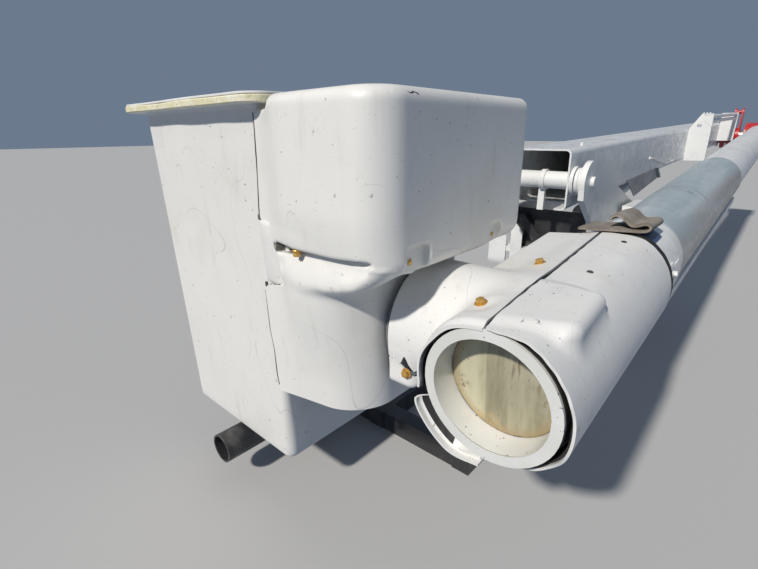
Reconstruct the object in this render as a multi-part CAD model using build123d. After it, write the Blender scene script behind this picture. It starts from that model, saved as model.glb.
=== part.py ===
from build123d import *
import math
import os

os.makedirs("parts", exist_ok=True)

# Aerial lift unit: bucket, round upper boom, elbow, box lower boom, turntable,
# pedestal and the low subframe that carries the rests. Millimetres, +Z up.
# Origin: the turning axis of the pedestal, on the underside of the base plate.
# +X points to the bucket end, +Y to the side of the round upper boom.

# ---- driving dimensions -------------------------------------------------
PIVOT_X, PIVOT_Z = 575.0, 955.0          # lower boom pivot pin
LB_TILT = 1.85                           # stowed rise of the lower boom, degrees
LB_W, LB_H, LB_WALL = 300.0, 272.0, 8.0  # lower boom box section
LB_UP = 7.0                              # section centre above the pivot pin
LB_NEAR_X, LB_FAR_X = 634.0, -4480.0     # open near end, elbow end
ELBOW_X, ELBOW_Z = -4650.0, 1105.0       # elbow shaft
ELBOW_R = 60.0
UB_TILT = 3.4                            # stowed rise of the upper boom, degrees
UB_Y = 540.0                             # upper boom axis beside the lower boom
RING_X = 2050.0                          # end face of the round boom
TUBE_R, TUBE_IN = 139.0, 118.0           # round boom, outside and bore
STEEL_X = -770.0                         # where the glass tube meets the steel tube
STEEL_R, SPIGOT_L = 133.0, 450.0         # steel tube, and its spigot inside the glass tube
SHELL_R, SHELL_T = 153.0, 5.0            # tip cover shells
SHELL_REAR_X = 1345.0
DRUM_R, DRUM_Y = 165.0, 240.0            # shaft housing of the left cover
TIP_X, TIP_Z = 1800.0, 700.0             # bucket levelling shaft
TIP_SHAFT_R = 32.0
BUCKET_X0, BUCKET_X1 = 1440.0, 2050.0    # outside of the bucket floor
BUCKET_Y0, BUCKET_Y1 = -678.0, -100.0
BUCKET_Z0, BUCKET_Z1 = 200.0, 1235.0     # floor underside, lip underside
BUCKET_TAPER = 26.0                      # growth a side from floor to lip
BUCKET_WALL = 7.0
LIP_T, LIP_OUT = 18.0, 50.0
LINER_T = 5.0
ARM_PIN_X, ARM_PIN_Z = -1140.0, 826.0    # lift cylinder pin on the boom
BASE_PIN_X, BASE_PIN_Z = 100.0, 665.0    # lift cylinder pin on the turntable
EAR_IN, EAR_T = 205.0, 25.0              # turntable side plates
HUB_R, HUB_Y = 148.0, 208.0              # bucket hub inside the shaft housing
PLATE_Z, PLATE_T = 530.0, 30.0           # turntable plate
GAP = 0.3


# ---- helpers --------------------------------------------------------------
def blk(x0, x1, y0, y1, z0, z1):
    return Pos((x0 + x1) / 2, (y0 + y1) / 2, (z0 + z1) / 2) * Box(x1 - x0, y1 - y0, z1 - z0)


def rod_y(x, z, r, y0, y1):
    return Pos(x, (y0 + y1) / 2, z) * Rot(90, 0, 0) * Cylinder(r, y1 - y0)


def rod_x(y, z, r, x0, x1):
    return Pos((x0 + x1) / 2, y, z) * Rot(0, 90, 0) * Cylinder(r, x1 - x0)


def rod_z(x, y, r, z0, z1):
    return Pos(x, y, (z0 + z1) / 2) * Cylinder(r, z1 - z0)


def rod_between(x0, z0, x1, z1, r, y=0.0):
    """Round bar between two points of an XZ plane."""
    length = math.hypot(x1 - x0, z1 - z0)
    ang = math.degrees(math.atan2(x1 - x0, z1 - z0))
    return Pos((x0 + x1) / 2, y, (z0 + z1) / 2) * Rot(0, ang, 0) * Cylinder(r, length)


def plate_xz(points, y0, y1):
    """Flat plate from an XZ outline."""
    face = make_face(Polyline(*[(x, y0, z) for x, z in points], close=True))
    return extrude(face, amount=y1 - y0, dir=(0, 1, 0))


def plate_yz(points, x0, x1):
    """Flat plate from a YZ outline."""
    face = make_face(Polyline(*[(x0, y, z) for y, z in points], close=True))
    return extrude(face, amount=x1 - x0, dir=(1, 0, 0))


def tilt(shape, x, z, deg):
    """Turn about a cross axis so that the -X end rises."""
    return Pos(x, 0, z) * Rot(0, deg, 0) * Pos(-x, 0, -z) * shape


def lb(shape):
    return tilt(shape, PIVOT_X, PIVOT_Z, LB_TILT)


def ub(shape):
    return tilt(shape, RING_X, UB_END_Z, UB_TILT)


def union(items):
    out = items[0]
    for it in items[1:]:
        out = out + it
    return out


nodes = {}
UB_END_Z = ELBOW_Z - (RING_X - ELBOW_X) * math.tan(math.radians(UB_TILT))  # ring centre height
LB_Z0 = PIVOT_Z + LB_UP - LB_H / 2       # box underside before the stowed tilt
LB_Z1 = LB_Z0 + LB_H

# ---- fixed base -------------------------------------------------------------
SUB_Z = 80.0
rails = [blk(-720, 1540, y - 35, y + 35, 0, SUB_Z) for y in (-205.0, 205.0)]
cross = [blk(x - 35, x + 35, -170, 170, 0, SUB_Z) for x in (-600.0, 420.0, 1500.0)]
nodes["subframe"] = union(rails + cross)

BASE_T, BASE_HALF = 25.0, 300.0
BOLT_SP, BOLT_R = 410.0, 14.0
base = blk(-BASE_HALF, BASE_HALF, -BASE_HALF, BASE_HALF, SUB_Z, SUB_Z + BASE_T)
for x in (-BOLT_SP / 2, BOLT_SP / 2):
    for y in (-255.0, 255.0):
        base -= rod_z(x, y, BOLT_R, SUB_Z - 1, SUB_Z + BASE_T + 1)
nodes["pedestal_base"] = base

PED_R, PED_TOP = 200.0, 460.0
ped = rod_z(0, 0, PED_R, SUB_Z + BASE_T, PED_TOP) - rod_z(0, 0, PED_R - 12, SUB_Z + BASE_T - 1, PED_TOP - 15)
for deg in (45, 135, 225, 315):
    g = plate_xz([(PED_R - 4, SUB_Z + BASE_T), (290, SUB_Z + BASE_T), (PED_R - 4, 330)], -8, 8)
    ped += Rot(0, 0, deg) * g
nodes["pedestal"] = ped
nodes["slew_ring"] = rod_z(0, 0, 275, PED_TOP, PLATE_Z - 6) - rod_z(0, 0, 120, PED_TOP - 1, PLATE_Z)

REST_Y, REST_Z, REST_R = -390.0, 143.0, 51.0
tube = rod_x(REST_Y, REST_Z, REST_R, 1480, 2130) - rod_x(REST_Y, REST_Z, REST_R - 6, 1479, 2131)
nodes["bucket_rest_tube"] = tube
saddle = blk(1465, 1535, -560, -240, 0, 60) + blk(1480, 1520, REST_Y - 60, REST_Y + 60, 60, 130)
saddle += blk(1820, 1860, REST_Y - 50, REST_Y + 50, 40, 130) + blk(1465, 1860, REST_Y - 35, REST_Y + 35, 0, 60)
nodes["bucket_rest_bracket"] = saddle - rod_x(REST_Y, REST_Z, REST_R, 1400, 2200)

# ---- turntable ---------------------------------------------------------------
plate = rod_z(0, 0, 300, PLATE_Z, PLATE_Z + PLATE_T) + blk(-330, 400, -240, 240, PLATE_Z, PLATE_Z + PLATE_T)
plate += rod_z(0, -330, 110, PLATE_Z, PLATE_Z + PLATE_T) + blk(-60, 60, -330, -180, PLATE_Z, PLATE_Z + PLATE_T)
nodes["turntable_plate"] = plate

TOP = PLATE_Z + PLATE_T
EAR_R = 92.0
ears = []
for s in (-1, 1):
    y0, y1 = sorted((s * EAR_IN, s * (EAR_IN + EAR_T)))
    e = plate_xz([(-320, TOP), (380, TOP), (500, 765), (655, 880), (PIVOT_X + EAR_R, PIVOT_Z), (PIVOT_X, PIVOT_Z + EAR_R), (500, 1022), (-320, 750)], y0, y1)
    e += rod_y(PIVOT_X, PIVOT_Z, EAR_R, y0, y1)
    ears.append(e - rod_y(PIVOT_X, PIVOT_Z, 40, y0 - 1, y1 + 1))
nodes["turntable_ears"] = Compound(children=ears)
EAR_OUT = EAR_IN + EAR_T
nodes["pivot_pin"] = rod_y(PIVOT_X, PIVOT_Z, 39.9, -EAR_OUT, EAR_OUT) + rod_y(PIVOT_X, PIVOT_Z, 24, -EAR_OUT - 16, EAR_OUT + 16)
washers = []
for s in (-1, 1):
    for y0, y1, r in ((152, 168, 66), (171, 185, 60), (188, 203, 66)):      # from, to, radius
        a, b = sorted((s * y0, s * y1))
        washers.append(rod_y(PIVOT_X, PIVOT_Z, r, a, b) - rod_y(PIVOT_X, PIVOT_Z, 40, a - 1, b + 1))
nodes["pivot_washers"] = Compound(children=washers)
link = rod_y(PIVOT_X, PIVOT_Z, 48, 6, 30) + blk(PIVOT_X - 9, PIVOT_X + 9, -4, 26, 812, 915)
nodes["pin_link"] = link - rod_y(PIVOT_X, PIVOT_Z, 40, 0, 40)
nodes["turntable_cross_plate"] = blk(335, 350, -EAR_IN, EAR_IN, TOP, 775)
guard = plate_yz([(-335, 450), (-140, 450), (-140, 652), (-187, 700), (-335, 700)], 400, 408)
nodes["turntable_guard"] = guard - blk(300, 500, -EAR_OUT, -EAR_IN, 400, 800)
nodes["guard_brace"] = plate_yz([(-187, 745), (-145, 748), (-28, 612), (-28, 565), (-75, 592)], 380, 398) + blk(350, 382, -75, -28, 566, 600)

lugs = []
for s in (-1, 1):
    y0, y1 = sorted((s * 37.0, s * 57.0))
    l = plate_xz([(BASE_PIN_X - 110, TOP), (BASE_PIN_X + 110, TOP), (BASE_PIN_X + 55, BASE_PIN_Z), (BASE_PIN_X - 55, BASE_PIN_Z)], y0, y1)
    l += rod_y(BASE_PIN_X, BASE_PIN_Z, 55, y0, y1)
    a, b = sorted((s * 57.0, s * 75.0))
    lugs.append(l + rod_y(BASE_PIN_X, BASE_PIN_Z, 30, a, b))
nodes["cylinder_base_lugs"] = Compound(children=lugs)

gear = rod_z(0, -330, 78, TOP, 640) + rod_z(0, -330, 60, 640, 760) + blk(-45, 45, -375, -285, 760, 850)
nodes["rotation_gearbox"] = gear
valve = blk(-240, 60, 250, 372, 590, 790) + blk(-220, 40, EAR_IN + EAR_T, 250, 600, 700)
nodes["valve_block"] = valve

# ---- lower boom -----------------------------------------------------------------
outer = fillet(blk(LB_FAR_X, LB_NEAR_X, -LB_W / 2, LB_W / 2, LB_Z0, LB_Z1).edges().filter_by(Axis.X), 26)
inner = fillet(blk(LB_FAR_X + 12, LB_NEAR_X + 1, -LB_W / 2 + LB_WALL, LB_W / 2 - LB_WALL, LB_Z0 + LB_WALL, LB_Z1 - LB_WALL).edges().filter_by(Axis.X), 18)
boom = outer - inner - rod_y(PIVOT_X, PIVOT_Z, 40.2, -200, 200)
boom -= blk(455, LB_NEAR_X + 1, -95, 95, LB_Z0 - 1, LB_Z0 + LB_WALL + 1)      # notch for the link and hoses
nodes["lower_boom_box"] = lb(boom)

arm = []
for s in (-1, 1):
    y0, y1 = sorted((s * 37.0, s * 57.0))
    a = plate_xz([(ARM_PIN_X - 120, ARM_PIN_Z + 96), (ARM_PIN_X + 120, ARM_PIN_Z + 96), (ARM_PIN_X + 50, ARM_PIN_Z), (ARM_PIN_X - 50, ARM_PIN_Z)], y0, y1)
    a = a + rod_y(ARM_PIN_X, ARM_PIN_Z, 52, y0, y1) - rod_y(ARM_PIN_X, ARM_PIN_Z, 30, y0 - 1, y1 + 1)
    arm.append(a - lb(blk(-3000, 600, -200, 200, LB_Z0, LB_Z1)))
nodes["cylinder_boom_lugs"] = Compound(children=arm)
nodes["cylinder_boom_pin"] = rod_y(ARM_PIN_X, ARM_PIN_Z, 29.9, -70, 70)

BK_X = -2260.0
BK_Z0, BK_Z1 = LB_Z0 - 5, LB_Z1 + 118


LINE_Z = (LB_Z1 + 50, LB_Z1 + 92)        # two pipe lines to the elbow
LINE_Y, LINE_R = 285.0, 17.0
brk = plate_yz([(150, BK_Z0), (310, BK_Z0), (310, BK_Z1), (225, BK_Z1), (150, LB_Z1 - 4)], BK_X - 12, BK_X + 12)
brk -= blk(BK_X - 20, BK_X + 20, 205, 238, LB_Z1 + 8, LB_Z1 + 32)
brk += blk(BK_X - 180, BK_X - 12, 150, 160, BK_Z0 + 30, LB_Z1 - 30)
nodes["line_bracket"] = lb(brk)
lines = [rod_x(LINE_Y, z, LINE_R, -4420, BK_X - 12) for z in LINE_Z]
stay = blk(-4432, -4420, 150, LINE_Y + 24, LB_Z0 + 60, LB_Z1 + 110)
nodes["elbow_lines"] = Compound(children=[lb(l) for l in lines])
nodes["line_stay"] = lb(stay)

side = []
for s in (-1, 1):
    y0, y1 = sorted((s * 122.0, s * 146.0))
    h = lb(blk(LB_FAR_X - 60, LB_FAR_X, y0, y1, LB_Z0 + 10, LB_Z1 - 10))
    h += plate_xz([(ELBOW_X, ELBOW_Z - 120), (LB_FAR_X, ELBOW_Z - 100), (LB_FAR_X, ELBOW_Z + 130), (ELBOW_X, ELBOW_Z + 120)], y0, y1)
    h += rod_y(ELBOW_X, ELBOW_Z, 130, y0, y1)
    side.append(h - lb(blk(LB_FAR_X, 0, -200, 200, LB_Z0 - 100, LB_Z1 + 100)) - rod_y(ELBOW_X, ELBOW_Z, ELBOW_R, -300, 300))
nodes["elbow_side_plates"] = Compound(children=side)
nodes["elbow_end_plate"] = lb(blk(LB_FAR_X - 12, LB_FAR_X, -122, 122, LB_Z0 + 10, LB_Z1 - 10))
nodes["elbow_shaft"] = rod_y(ELBOW_X, ELBOW_Z, ELBOW_R, -165, 690)

# ---- lift cylinder (barrel on the boom, rod to the turntable) -----------------
cyl_len = math.hypot(BASE_PIN_X - ARM_PIN_X, BASE_PIN_Z - ARM_PIN_Z)
ux, uz = (BASE_PIN_X - ARM_PIN_X) / cyl_len, (BASE_PIN_Z - ARM_PIN_Z) / cyl_len


def along(d):
    return ARM_PIN_X + ux * d, ARM_PIN_Z + uz * d


def cyl_seg(d0, d1, r):
    a, b = along(d0), along(d1)
    return rod_between(a[0], a[1], b[0], b[1], r)


barrel = cyl_seg(75, 1010, 58) + cyl_seg(985, 1030, 64)
barrel += rod_y(ARM_PIN_X, ARM_PIN_Z, 48, -31, 31) + cyl_seg(20, 80, 30)
barrel -= cyl_seg(90, 1031, 31)
nodes["lift_cylinder_barrel"] = barrel - rod_y(ARM_PIN_X, ARM_PIN_Z, 30.4, -40, 40)
rod = cyl_seg(100, cyl_len - 20, 30) + rod_y(BASE_PIN_X, BASE_PIN_Z, 48, -31, 31)
nodes["lift_cylinder_rod"] = rod - rod_y(BASE_PIN_X, BASE_PIN_Z, 30, -40, 40)

# ---- elbow levelling sheave ------------------------------------------------------
sheave = rod_y(ELBOW_X, ELBOW_Z, 150, 175, 215) + rod_y(ELBOW_X, ELBOW_Z, 90, 155, 245)
sheave += rod_y(ELBOW_X, ELBOW_Z, 120, 235, 250)
nodes["level_sheave"] = sheave - rod_y(ELBOW_X, ELBOW_Z, ELBOW_R + 0.1, 100, 400)
CR_Z = ELBOW_Z + 275
crank = rod_y(ELBOW_X, ELBOW_Z, 95, 252, 345) + rod_y(ELBOW_X, CR_Z, 20, 252, 345)
for y0, y1 in ((252, 268), (325, 341)):
    crank += plate_xz([(ELBOW_X - 80, ELBOW_Z), (ELBOW_X - 48, CR_Z), (ELBOW_X + 48, CR_Z), (ELBOW_X + 80, ELBOW_Z)], y0, y1) + rod_y(ELBOW_X, CR_Z, 48, y0, y1)
nodes["level_crank"] = crank - rod_y(ELBOW_X, ELBOW_Z, ELBOW_R + 0.1, 100, 400)

# ---- upper boom --------------------------------------------------------------------
knuckle = rod_y(ELBOW_X, ELBOW_Z, 150, UB_Y - 150, UB_Y + 150) + ub(rod_x(UB_Y, UB_END_Z, 146, ELBOW_X, ELBOW_X + 330))
knuckle -= ub(rod_x(UB_Y, UB_END_Z, STEEL_R + 0.05, ELBOW_X + 130, ELBOW_X + 400))
nodes["upper_boom_knuckle"] = knuckle - rod_y(ELBOW_X, ELBOW_Z, ELBOW_R + 0.1, 300, 800)
steel = rod_x(UB_Y, UB_END_Z, STEEL_R, ELBOW_X + 130, STEEL_X) - rod_x(UB_Y, UB_END_Z, STEEL_R - 8, ELBOW_X + 129, STEEL_X - 30)
steel += rod_x(UB_Y, UB_END_Z, TUBE_IN - 0.1, STEEL_X - 10, STEEL_X + SPIGOT_L)
steel -= rod_x(UB_Y, UB_END_Z, TUBE_IN - 10, STEEL_X - 31, STEEL_X + SPIGOT_L + 1)
nodes["upper_boom_steel_tube"] = ub(steel)
nodes["upper_boom_tube"] = ub(rod_x(UB_Y, UB_END_Z, TUBE_R, STEEL_X, RING_X) - rod_x(UB_Y, UB_END_Z, TUBE_IN, STEEL_X - 1, RING_X + 1))
COLLAR_R = 144.0
nodes["tube_bulkhead"] = ub(rod_x(UB_Y, UB_END_Z, TUBE_IN - 0.05, RING_X - 85, RING_X - 72))
nodes["boom_collar"] = ub(rod_x(UB_Y, UB_END_Z, COLLAR_R, 1130, 1318) - rod_x(UB_Y, UB_END_Z, TUBE_R + 0.05, 1100, 1350))

# tip cover: shells split along the top; the boom's left side also houses the levelling
# shaft, under a drum and a flat-topped box, and is split again into a top and a bottom
LF_Y, LF_X1 = 346.0, 1700.0              # left side of the box part, its front end
LF_PTS = [(LF_Y, 600), (LF_Y, 858), (470, 884), (UB_Y, 884), (UB_Y, 600)]


def shell_solid(t, ends):
    """Outer form of the cover, moved in by t and run on past its ends."""
    tube_part = ub(rod_x(UB_Y, UB_END_Z, SHELL_R - t, SHELL_REAR_X - ends, RING_X + ends))
    cx, cz = 450.0, 745.0
    pts = [(y + math.copysign(t, cx - y) if y < UB_Y else y, z + math.copysign(t, cz - z)) for y, z in LF_PTS]
    box_part = plate_yz(pts, SHELL_REAR_X - ends, LF_X1 - t)
    drum_part = rod_y(TIP_X, TIP_Z, DRUM_R - t, DRUM_Y - ends, UB_Y - 20)
    return tube_part, tube_part + box_part + drum_part


ring_out, left_out = shell_solid(0.0, 0.0)
ring_in, left_in = shell_solid(SHELL_T, 25.0)
nodes["tip_cover_right"] = (ring_out - ring_in) & blk(1000, 2200, UB_Y + 3, UB_Y + 300, 300, 1200)
left = (left_out - left_in) & blk(1000, 2200, 100, UB_Y - 3, 300, 1200)
SPLIT_Z = 655.0
nodes["tip_cover_left"] = left & blk(1000, 2200, 100, UB_Y, SPLIT_Z + 1.5, 1200)
nodes["tip_cover_lower"] = left & blk(1000, 2200, 100, UB_Y, 300, SPLIT_Z - 1.5)
solid_tube = ub(rod_x(UB_Y, UB_END_Z, TUBE_R + 0.02, 1000, 2300))
housing = rod_y(TIP_X, TIP_Z, 70, 372, UB_Y - 60) - solid_tube
nodes["tip_shaft_housing"] = housing - rod_y(TIP_X, TIP_Z, TIP_SHAFT_R, 300, UB_Y)
nodes["tip_shaft"] = rod_y(TIP_X, TIP_Z, TIP_SHAFT_R, -20, UB_Y - 60) - solid_tube

# rubber belting flap over the tube behind the tip cover, and the conduit strip
FLAP_Z = UB_END_Z + COLLAR_R + 1.0
flap = blk(1045, 1305, 420, 662, FLAP_Z, FLAP_Z + 10) + blk(1055, 1295, 470, 662, FLAP_Z + 8, FLAP_Z + 64)
nodes["belting_flap"] = ub(flap)
strip = blk(STEEL_X + 5, 1125, UB_Y + 88, UB_Y + 126, UB_END_Z - 122, UB_END_Z - 92)
nodes["conduit_strip"] = ub(strip - rod_x(UB_Y, UB_END_Z, TUBE_R + 0.02, -2400, 1200))

# ---- bucket ------------------------------------------------------------------------
def tapered(x0, x1, y0, y1, z0, z1, grow, r):
    lo = Plane.XY.offset(z0) * Pos((x0 + x1) / 2, (y0 + y1) / 2) * RectangleRounded(x1 - x0, y1 - y0, r)
    hi = Plane.XY.offset(z1) * Pos((x0 + x1) / 2, (y0 + y1) / 2) * RectangleRounded(x1 - x0 + 2 * grow, y1 - y0 + 2 * grow, r + 12)
    return loft([lo, hi])


W = BUCKET_WALL
shell = tapered(BUCKET_X0, BUCKET_X1, BUCKET_Y0, BUCKET_Y1, BUCKET_Z0, BUCKET_Z1, BUCKET_TAPER, 28)
cavity = tapered(BUCKET_X0 + W, BUCKET_X1 - W, BUCKET_Y0 + W, BUCKET_Y1 - W, BUCKET_Z0 + W + 3, BUCKET_Z1 + 30, BUCKET_TAPER + 0.6, 22)
cx, cy = (BUCKET_X0 + BUCKET_X1) / 2, (BUCKET_Y0 + BUCKET_Y1) / 2
lx, ly = BUCKET_X1 - BUCKET_X0 + 2 * (BUCKET_TAPER + LIP_OUT), BUCKET_Y1 - BUCKET_Y0 + 2 * (BUCKET_TAPER + LIP_OUT)
lip = Pos(cx, cy, BUCKET_Z1) * extrude(RectangleRounded(lx, ly, 55), LIP_T)
nodes["bucket"] = shell + lip - cavity
LW = W + 1.0
lin = tapered(BUCKET_X0 + LW, BUCKET_X1 - LW, BUCKET_Y0 + LW, BUCKET_Y1 - LW, BUCKET_Z0 + W + 4, BUCKET_Z1 + LIP_T + 0.5, BUCKET_TAPER - 0.4, 21)
lin += Pos(cx, cy, BUCKET_Z1 + LIP_T) * extrude(RectangleRounded(lx - 6, ly - 6, 52), 6)
LI = LW + LINER_T
lin -= tapered(BUCKET_X0 + LI, BUCKET_X1 - LI, BUCKET_Y0 + LI, BUCKET_Y1 - LI, BUCKET_Z0 + W + 4 + LINER_T, BUCKET_Z1 + 60, BUCKET_TAPER + 0.2, 16)
nodes["bucket_liner"] = lin

# console and bracket cover on the boom side of the bucket
CV_X0, CV_X1, CV_Y1 = 1507.0, 2118.0, 330.0
CV_FX, CV_RY = 2082.0, 10.0               # flange on the bucket, end of the ramp up to the box front
CV_Z0, CV_ZM, CV_Z1 = 490.0, 885.0, 1250.0
CV_T = 6.0
CVY0 = -66.0
SK_Y, SK_X0 = 202.0, 1640.0              # skirt: boom side, open rear edge


def skirt_plan(t, z0, z1):
    """Skirt outline in plan, moved in by t."""
    back = CVY0 if t == 0 else CVY0 - 100
    pts = [(SK_X0, back + 4), (2080 - t, back - 20), (2049 - t, 86), (2030 - t, SK_Y - t), (SK_X0, SK_Y - t)]
    body = extrude(make_face(Polyline(*[(x, y, z0) for x, y in pts], close=True)), amount=z1 - z0, dir=(0, 0, 1))
    return body




def box_plan(pts, z0, z1):
    return Pos(0, 0, z0) * extrude(make_face(Polyline(*pts, close=True)), amount=z1 - z0, dir=(0, 0, 1))


RAMP = (CV_X1 - CV_FX) / (CV_RY - (CVY0 - 24))
upper = box_plan([(CV_X0, CVY0 - 24), (CV_FX, CVY0 - 24), (CV_X1, CV_RY), (CV_X1, CV_Y1), (CV_X0, CV_Y1)], CV_ZM, CV_Z1)
upper = fillet(upper.edges().filter_by(Axis.Z).filter_by_position(Axis.Y, CV_Y1 - 1, CV_Y1 + 1), 60)
in_x = CV_FX - CV_T - (16 + CV_T) * RAMP
upper_in = box_plan([(CV_X0 + CV_T, CVY0 - 40), (in_x, CVY0 - 40), (CV_X1 - CV_T, CV_RY + 2), (CV_X1 - CV_T, CV_Y1 - CV_T), (CV_X0 + CV_T, CV_Y1 - CV_T)],
                    CV_ZM + CV_T, CV_Z1 - CV_T)
upper_in = fillet(upper_in.edges().filter_by(Axis.Z).filter_by_position(Axis.Y, CV_Y1 - CV_T - 1, CV_Y1), 54)
low = skirt_plan(0.0, CV_Z0, CV_ZM)
low_in = skirt_plan(CV_T, CV_Z0 - 1, CV_ZM + CV_T)
low = fillet(low.edges().filter_by(Axis.Z).filter_by_position(Axis.X, 2025, 2035), 85)
low_in = fillet(low_in.edges().filter_by(Axis.Z).filter_by_position(Axis.X, 2018, 2030), 79)
cover = upper + low - upper_in - low_in
cover -= blk(SK_X0 - 10, SK_X0 + 1, CVY0 - 40, SK_Y - CV_T, CV_Z0 - 1, CV_ZM - 6)
bucket_out = tapered(BUCKET_X0 - 1, BUCKET_X1 + 1, BUCKET_Y0 - 1, BUCKET_Y1 + 1, BUCKET_Z0, BUCKET_Z1 + 60, BUCKET_TAPER + 1.5, 29)
cover -= bucket_out
cover -= blk(1300, 2200, -800, BUCKET_Y1 + BUCKET_TAPER + LIP_OUT + 4, BUCKET_Z1 - 6, BUCKET_Z1 + 60)
cover -= rod_y(TIP_X, TIP_Z, 104, SK_Y - 30, SK_Y + 10)
nodes["console_cover"] = cover

bucket_solid = tapered(BUCKET_X0, BUCKET_X1, BUCKET_Y0, BUCKET_Y1, BUCKET_Z0, BUCKET_Z1, BUCKET_TAPER, 28)
br = blk(1660, 1940, -110, -60, 560, 1120) - bucket_solid
br += blk(1740, 1860, -62, 60, 560, 1060) - blk(1750, 1850, -50, 50, 540, 1050)
br += rod_y(TIP_X, TIP_Z, 100, -20, 362) - rod_y(TIP_X, TIP_Z, 60, 0, 340)
br += rod_y(TIP_X, TIP_Z, HUB_R, HUB_Y, 362) - rod_y(TIP_X, TIP_Z, HUB_R - 8, HUB_Y + 8, 363)
br += rod_y(TIP_X, TIP_Z, 100, HUB_Y, 362) - rod_y(TIP_X, TIP_Z, 60, HUB_Y - 1, 340)
nodes["bucket_bracket"] = br - rod_y(TIP_X, TIP_Z, TIP_SHAFT_R + 0.1, -21, 400)

for name, shape in nodes.items():
    export_step(shape, f"parts/{name}.step")
    print(name, round(shape.volume / 1e6, 3), "L")
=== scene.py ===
import math

import bmesh
import bpy
import numpy as np
from mathutils import Matrix, Vector


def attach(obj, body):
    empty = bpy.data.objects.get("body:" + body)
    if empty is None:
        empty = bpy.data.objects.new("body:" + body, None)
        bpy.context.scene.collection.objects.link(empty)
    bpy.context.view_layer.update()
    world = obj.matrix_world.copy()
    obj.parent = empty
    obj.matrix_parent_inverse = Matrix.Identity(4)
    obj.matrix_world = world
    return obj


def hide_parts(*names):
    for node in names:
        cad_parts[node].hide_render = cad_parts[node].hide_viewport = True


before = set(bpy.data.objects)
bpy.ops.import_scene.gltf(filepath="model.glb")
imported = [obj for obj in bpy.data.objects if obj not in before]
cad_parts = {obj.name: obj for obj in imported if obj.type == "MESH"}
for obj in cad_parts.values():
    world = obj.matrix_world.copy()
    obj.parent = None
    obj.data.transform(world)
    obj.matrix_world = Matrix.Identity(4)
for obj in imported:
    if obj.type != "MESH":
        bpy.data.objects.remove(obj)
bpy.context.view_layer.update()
SC = bpy.context.scene
COL = SC.collection
rng = np.random.default_rng(7)

# ---------------------------------------------------------------- camera
cam_data = bpy.data.cameras.new("camera")
cam = bpy.data.objects.new("camera", cam_data)
COL.objects.link(cam)
right = Vector((-0.6668, 0.7452, -0.00935)).normalized()
back = Vector((0.70279, 0.63294, 0.32476)).normalized()
up = back.cross(right).normalized()
right = up.cross(back).normalized()
m = Matrix((right, up, back)).transposed().to_4x4()
m.translation = Vector((2.692, 0.856, 1.167))
cam.matrix_world = m
cam_data.sensor_width = 36.0
cam_data.lens = 36.0 * 438.7 / 758.0
cam_data.clip_start, cam_data.clip_end = 0.02, 200.0
SC.camera = cam

# ---------------------------------------------------------------- light
SC.view_settings.view_transform = "Standard"
SC.view_settings.look = "None"
SC.view_settings.exposure = 0.0
world = bpy.data.worlds.new("world")
SC.world = world
world.use_nodes = True
bg = world.node_tree.nodes["Background"]
bg.inputs["Color"].default_value = (0.56, 0.72, 1.0, 1)
bg.inputs["Strength"].default_value = 0.27
sun_data = bpy.data.lights.new("key", "SUN")
sun_data.energy = 3.45
sun_data.angle = math.radians(3)
sun_data.color = (1.0, 0.955, 0.89)
sun = bpy.data.objects.new("key", sun_data)
COL.objects.link(sun)
sun_dir = Vector((0.765, 0.026, 0.645)).normalized()      # towards the light
sun.rotation_mode = "QUATERNION"
sun.rotation_quaternion = sun_dir.to_track_quat("Z", "Y")


# ---------------------------------------------------------------- sizes, metres
BX0, BX1, BY0, BY1, BZ0, BZ1 = 1.440, 2.050, -0.678, -0.100, 0.200, 1.235
TAPER, WALL, LIP_T, LIP_OUT = 0.026, 0.007, 0.018, 0.050
UB_TAN = math.tan(math.radians(3.4))
RING_X, UB_Y, RING_Z = 2.050, 0.540, 1.105 - 6.700 * math.tan(math.radians(3.4))
TIP_X, TIP_Z = 1.800, 0.700


def tube_z(x):
    return RING_Z + (RING_X - x) * UB_TAN


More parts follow.
